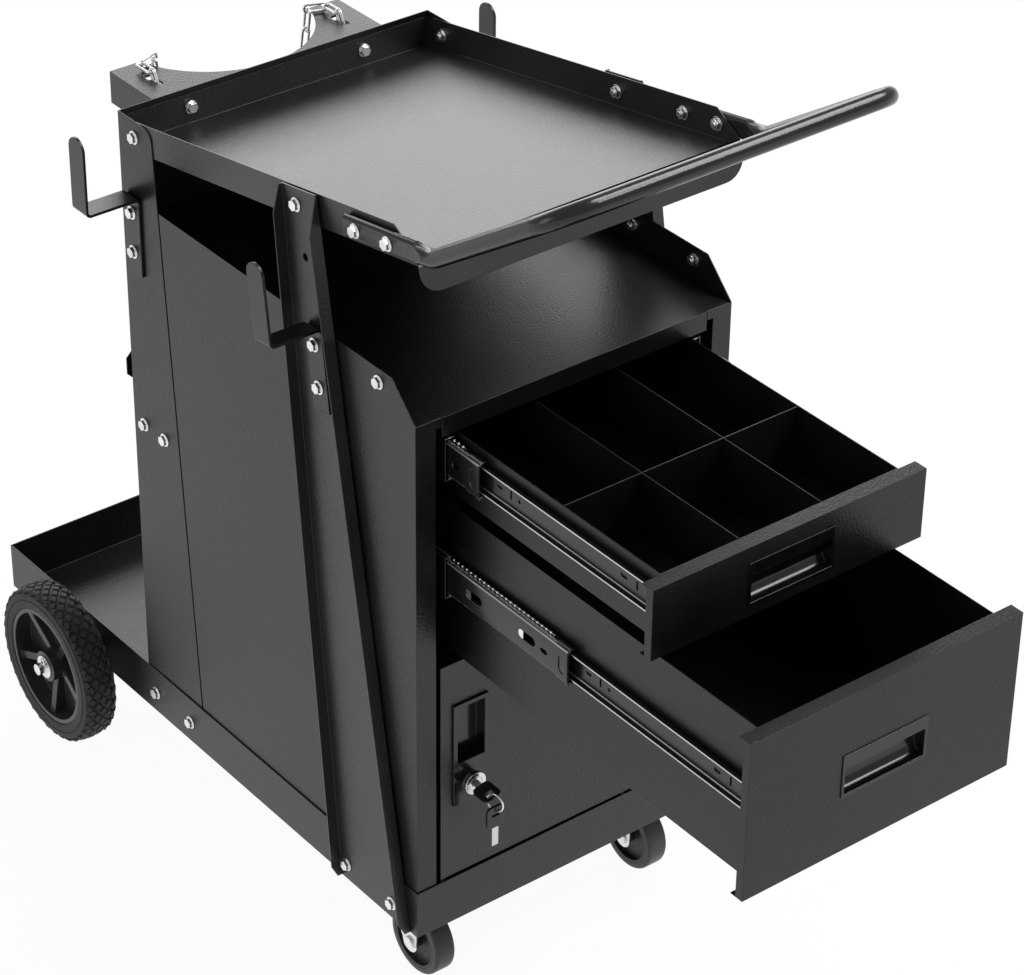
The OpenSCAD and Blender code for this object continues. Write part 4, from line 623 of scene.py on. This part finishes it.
def slot_cutter(x, y, z, length, height, side):
    """A long round-ended hole through a web: its middle, its length along Y and its height."""
    r = min(length, height) / 2
    flat_y, flat_z = length / 2 - r, height / 2 - r
    corners = [(flat_y, flat_z, 0), (-flat_y, flat_z, 90), (-flat_y, -flat_z, 180), (flat_y, -flat_z, 270)]
    rim = [point for u, v, a in corners for point in arc((y + u, z + v), r, a, a + 90, 4)]
    work = bmesh.new()
    rings = [[work.verts.new((side * (x + d), u, v)) for u, v in dict.fromkeys(rim)]
             for d in (-CUTTER_HALF, CUTTER_HALF)]
    bmesh.ops.bridge_loops(work, edges=[work.edges.new((ring[k - 1], ring[k])) for ring in rings
                                        for k in range(len(ring))])
    for ring in rings:
        work.faces.new(ring)
    bmesh.ops.remove_doubles(work, verts=work.verts, dist=1e-6)
    bmesh.ops.recalc_face_normals(work, faces=work.faces)
    return mesh_of(work, "slot")


def ball_tree(material):
    """A row of balls along Y."""
    board, size = node_group("balls", count=64, pitch=0.0064, radius=0.0012)
    step = board.add("ShaderNodeCombineXYZ", None, {1: size["pitch"]})
    line = board.add("GeometryNodeMeshLine", None, {"Count": size["count"], "Offset": step})
    ball = board.add("GeometryNodeMeshIcoSphere", None, {"Radius": size["radius"], "Subdivisions": 2})
    row = board.add("GeometryNodeInstanceOnPoints", None, {"Points": line, "Instance": ball})
    return end_group(board, row, material)


def oblong(x_low, x_high, z_low, z_high):
    """A four-cornered section in X and Z."""
    return [(x_low, z_low), (x_high, z_low), (x_high, z_high), (x_low, z_high)]


# Holes from a member's front end: (distance, height above its middle, length, height)
RUNNER_HOLES = [(0.0395, 0.0, 0.0022, 0.010), (0.057, 0.0005, 0.009, 0.004), (0.2, 0.0, 0.004, 0.004),
                (0.2115, 0.001, 0.0022, 0.010), (0.228, 0.001, 0.008, 0.003), (0.380, 0.0, 0.009, 0.004)]
MIDDLE_WINDOWS = [(0.058, 0.0, 0.024, 0.0095), (0.1345, 0.0, 0.023, 0.0095)]
MIDDLE_HOLES = [(0.034, -0.001, 0.010, 0.005), (0.30, 0.0, 0.012, 0.005)]
# The stop clip is folded over a middle member's front end. A tab hangs from it.
CLIP_SHEET, CLIP_OVER, CLIP_PLAY, CLIP_LENGTH = 0.0009, 0.0008, 0.0002, 0.017
CLIP_EDGE_OVER, CLIP_ROLL_OVER = 0.002, 0.0004
CLIP_HOLE = (0.008, 0.0, 0.009, 0.020)
TAB_OUTER, TAB_INNER, TAB_TOP, TAB_FOOT, TAB_LENGTH = 0.002, 0.001, 0.0006, 0.0026, 0.005
# A leaf spring lies in each window, and the balls run in two rows in each lip, in their cages.
LEAF_SHEET, LEAF_SET_BACK, LEAF_PLAY, LEAF_START, LEAF_END = 0.0009, 0.0011, 0.0005, 0.0068, 0.0002
BALL_X, BALL_START = 0.1398, 0.03
BALL_ROWS = ((0.0153, 0.0012), (0.01955, 0.0014))
CAGE_LOW_X, CAGE_HIGH_X, CAGE_HALF, CAGE_START, CAGE_END = 0.1392, 0.1404, 0.0004, 0.024, 0.432


def pierced(name, section, holes, web, front, back, level, side):
    """A section drawn out from front to back, with its holes cut through its web."""
    cutters = [slot_cutter(web, front + far, level + up, long, tall, side) for far, up, long, tall in holes]
    return cut_by(drawn_out(name, section, front, back, side), cutters)


def at_level(section, level):
    """The section, moved up to its slide's level."""
    return [(x, z + level) for x, z in section]


slide_zinc = zinc_plate("slide_zinc", 0.22)
balls = ball_tree(slide_zinc)
dress(slide_zinc, "upper_drawer_screws", "lower_drawer_screws", round_off=0.0005, segments=3)
for drawer in ("upper", "lower"):
    runner_low, runner_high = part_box(drawer + "_slide_runners")
    middle_low, middle_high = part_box(drawer + "_slide_middles")
    level = (runner_low[2] + runner_high[2]) / 2
    section = at_level(rolled_channel(WEB_RUNNER, EDGE_RUNNER, HIGH_RUNNER, SLIDE_SHEET, SLIDE_ROLL), level)
    sides = [pierced("runner", section, RUNNER_HOLES, WEB_RUNNER, runner_low[1], runner_high[1], level, side)
             for side in (-1, 1)]
    runners = new_piece(drawer + "_drawer_members", joined("runners", *sides), slide_black.material,
                        drawer + "_drawer", "black_slides", drawer + "_slide_runners")
    finish_edges(runners, 0.0002)

    front, back, half = middle_low[1], middle_high[1], HIGH_MIDDLE / 2
    section = at_level(rolled_channel(WEB_MIDDLE, EDGE_MIDDLE, HIGH_MIDDLE, SLIDE_SHEET, SLIDE_ROLL), level)
    clip = at_level(rolled_channel(WEB_MIDDLE + CLIP_OVER, EDGE_MIDDLE + CLIP_EDGE_OVER,
                                   HIGH_MIDDLE + 2 * CLIP_OVER, CLIP_SHEET, SLIDE_ROLL + CLIP_ROLL_OVER), level)
    tab = oblong(WEB_MIDDLE - TAB_OUTER, WEB_MIDDLE - TAB_INNER,
                 level - half - TAB_TOP, level - half - TAB_FOOT)
    sides, springs = [], []
    for side in (-1, 1):
        sides.append(pierced("middle", section, MIDDLE_WINDOWS + MIDDLE_HOLES, WEB_MIDDLE, front, back,
                             level, side))
        far, up, long, tall = CLIP_HOLE
        stamped = [slot_cutter(WEB_MIDDLE + CLIP_OVER, front + far, level + up, long, tall, side)]
        sides.append(cut_by(drawn_out("clip", clip, front + CLIP_PLAY, front + CLIP_LENGTH, side), stamped))
        sides.append(drawn_out("tab", tab, front + CLIP_PLAY, front + TAB_LENGTH, side))
        for far, up, long, tall in MIDDLE_WINDOWS:
            inner, at = WEB_MIDDLE - LEAF_SET_BACK, front + far + long / 2
            leaf = oblong(inner, inner + LEAF_SHEET, level - tall / 2 + LEAF_PLAY, level + tall / 2 - LEAF_PLAY)
            springs.append(drawn_out("spring", leaf, at - LEAF_START, at - LEAF_END, side))
        for height, radius in BALL_ROWS:
            for up in (-1, 1):
                row = grown(balls, "balls", radius=radius)
                row.transform(Matrix.Translation((side * BALL_X, front + BALL_START, level + up * height)))
                springs.append(row)
                strip = oblong(CAGE_LOW_X, CAGE_HIGH_X, level + up * height - CAGE_HALF,
                               level + up * height + CAGE_HALF)
                springs.append(drawn_out("cage", strip, front + CAGE_START, front + CAGE_END, side))
    middles = new_piece(drawer + "_middle_members", joined("middles", *sides), slide_black.material,
                        drawer + "_slides", "black_slides", drawer + "_slide_middles")
    finish_edges(middles, 0.0002)
    cages = new_piece(drawer + "_ball_cages", joined("cages", *springs), slide_zinc,
                      drawer + "_slides", "zinc_plate")
    finish_edges(cages, 0)


# ---- Drawers
# Each box is folded from 1.2 mm sheet and welded, with a front of its own that has lips folded
# back on all sides. The upper drawer has welded dividers. Their coat is a little less glossy than the
# cabinet's.
drawer_coat = powder_coat("drawer_coat", 0.34, 0.0003, gloss=0.36)
dress(drawer_coat, "upper_drawer_box", "upper_drawer_front", "upper_drawer_dividers", "lower_drawer_box",
      "lower_drawer_front")


# ---- Drawer pulls
# Recessed pulls of glossy black moulded plastic, snapped into the fronts: a thin frame, a hood
# over the upper half and a finger cup with a rounded floor.
pull_plastic = Finish("pull_plastic")
mould = grain(pull_plastic, 90.0, 2.0)
pull_plastic.give("Base Color", colour_between(pull_plastic, mould.ramp(0.3, 0.7), (0.004, 0.004, 0.0042),
                                               (0.008, 0.008, 0.0083)))
pull_plastic.give("Roughness", mould * 0.08 + 0.12)
relief(pull_plastic, mould, 0.00004)
dress(pull_plastic.material, "upper_drawer_pull", "lower_drawer_pull", round_off=0.0006, segments=3)


# ---- Door, lock and keys
# The door is a folded pan with a moulded handle plate. A nickel plated cam lock is clamped in it,
# with a key in its plug and a spare key on the ring, both with a black moulded bow.
door_coat = powder_coat("door_coat", 0.34, 0.0006)
dress(door_coat, "door_panel", round_off=0.0006)
dress(cabinet_coat, "hinge_brackets")
dress(pull_plastic.material, "door_handle_plate", round_off=0.0005, segments=3)
lock_nickel = zinc_plate("lock_nickel", 0.2, (0.80, 0.80, 0.81))
dress(lock_nickel, "lock_barrel", "lock_plug", round_off=0.0005, segments=3)
dress(lock_nickel, "key_ring", round_off=0)
BOW_LENGTH = 0.0242


def key_finish(node, axis, bow_is_high):
    """A moulded black bow, with a steel blade beyond it along the key's axis."""
    key = Finish(node + "_finish")
    worn, mould = grain(key, 200.0, 3.0), grain(key, 900.0)
    low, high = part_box(node)
    place = key.add("ShaderNodeSeparateXYZ", None, {0: key.add("ShaderNodeTexCoord")["Object"]})
    along = place["XYZ"[axis]]
    if bow_is_high:
        blade = along.math("LESS_THAN", high[axis] - BOW_LENGTH)
    else:
        blade = along.math("GREATER_THAN", low[axis] + BOW_LENGTH)
    plastic = colour_between(key, mould, (0.006, 0.006, 0.006), (0.014, 0.014, 0.014))
    steel = colour_between(key, worn, (0.55, 0.55, 0.56), (0.72, 0.72, 0.73))
    key.give("Base Color", colour_between(key, blade, plastic, steel))
    key.give("Metallic", blade)
    key.give("Roughness", worn * 0.15 + 0.24)
    relief(key, mould, 0.00004)
    dress(key.material, node)


key_finish("door_key", axis=1, bow_is_high=False)
key_finish("spare_key", axis=2, bow_is_high=True)


# ---- Bolts and nuts
# M6 flange bolts and flange nuts, bright zinc plated, through every bolted joint of the frame.
bolt_zinc = zinc_plate("bolt_zinc", 0.24, (0.9, 0.9, 0.91))
dress(bolt_zinc, "frame_bolts")


# ---- Sizes, and the end
low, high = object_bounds()
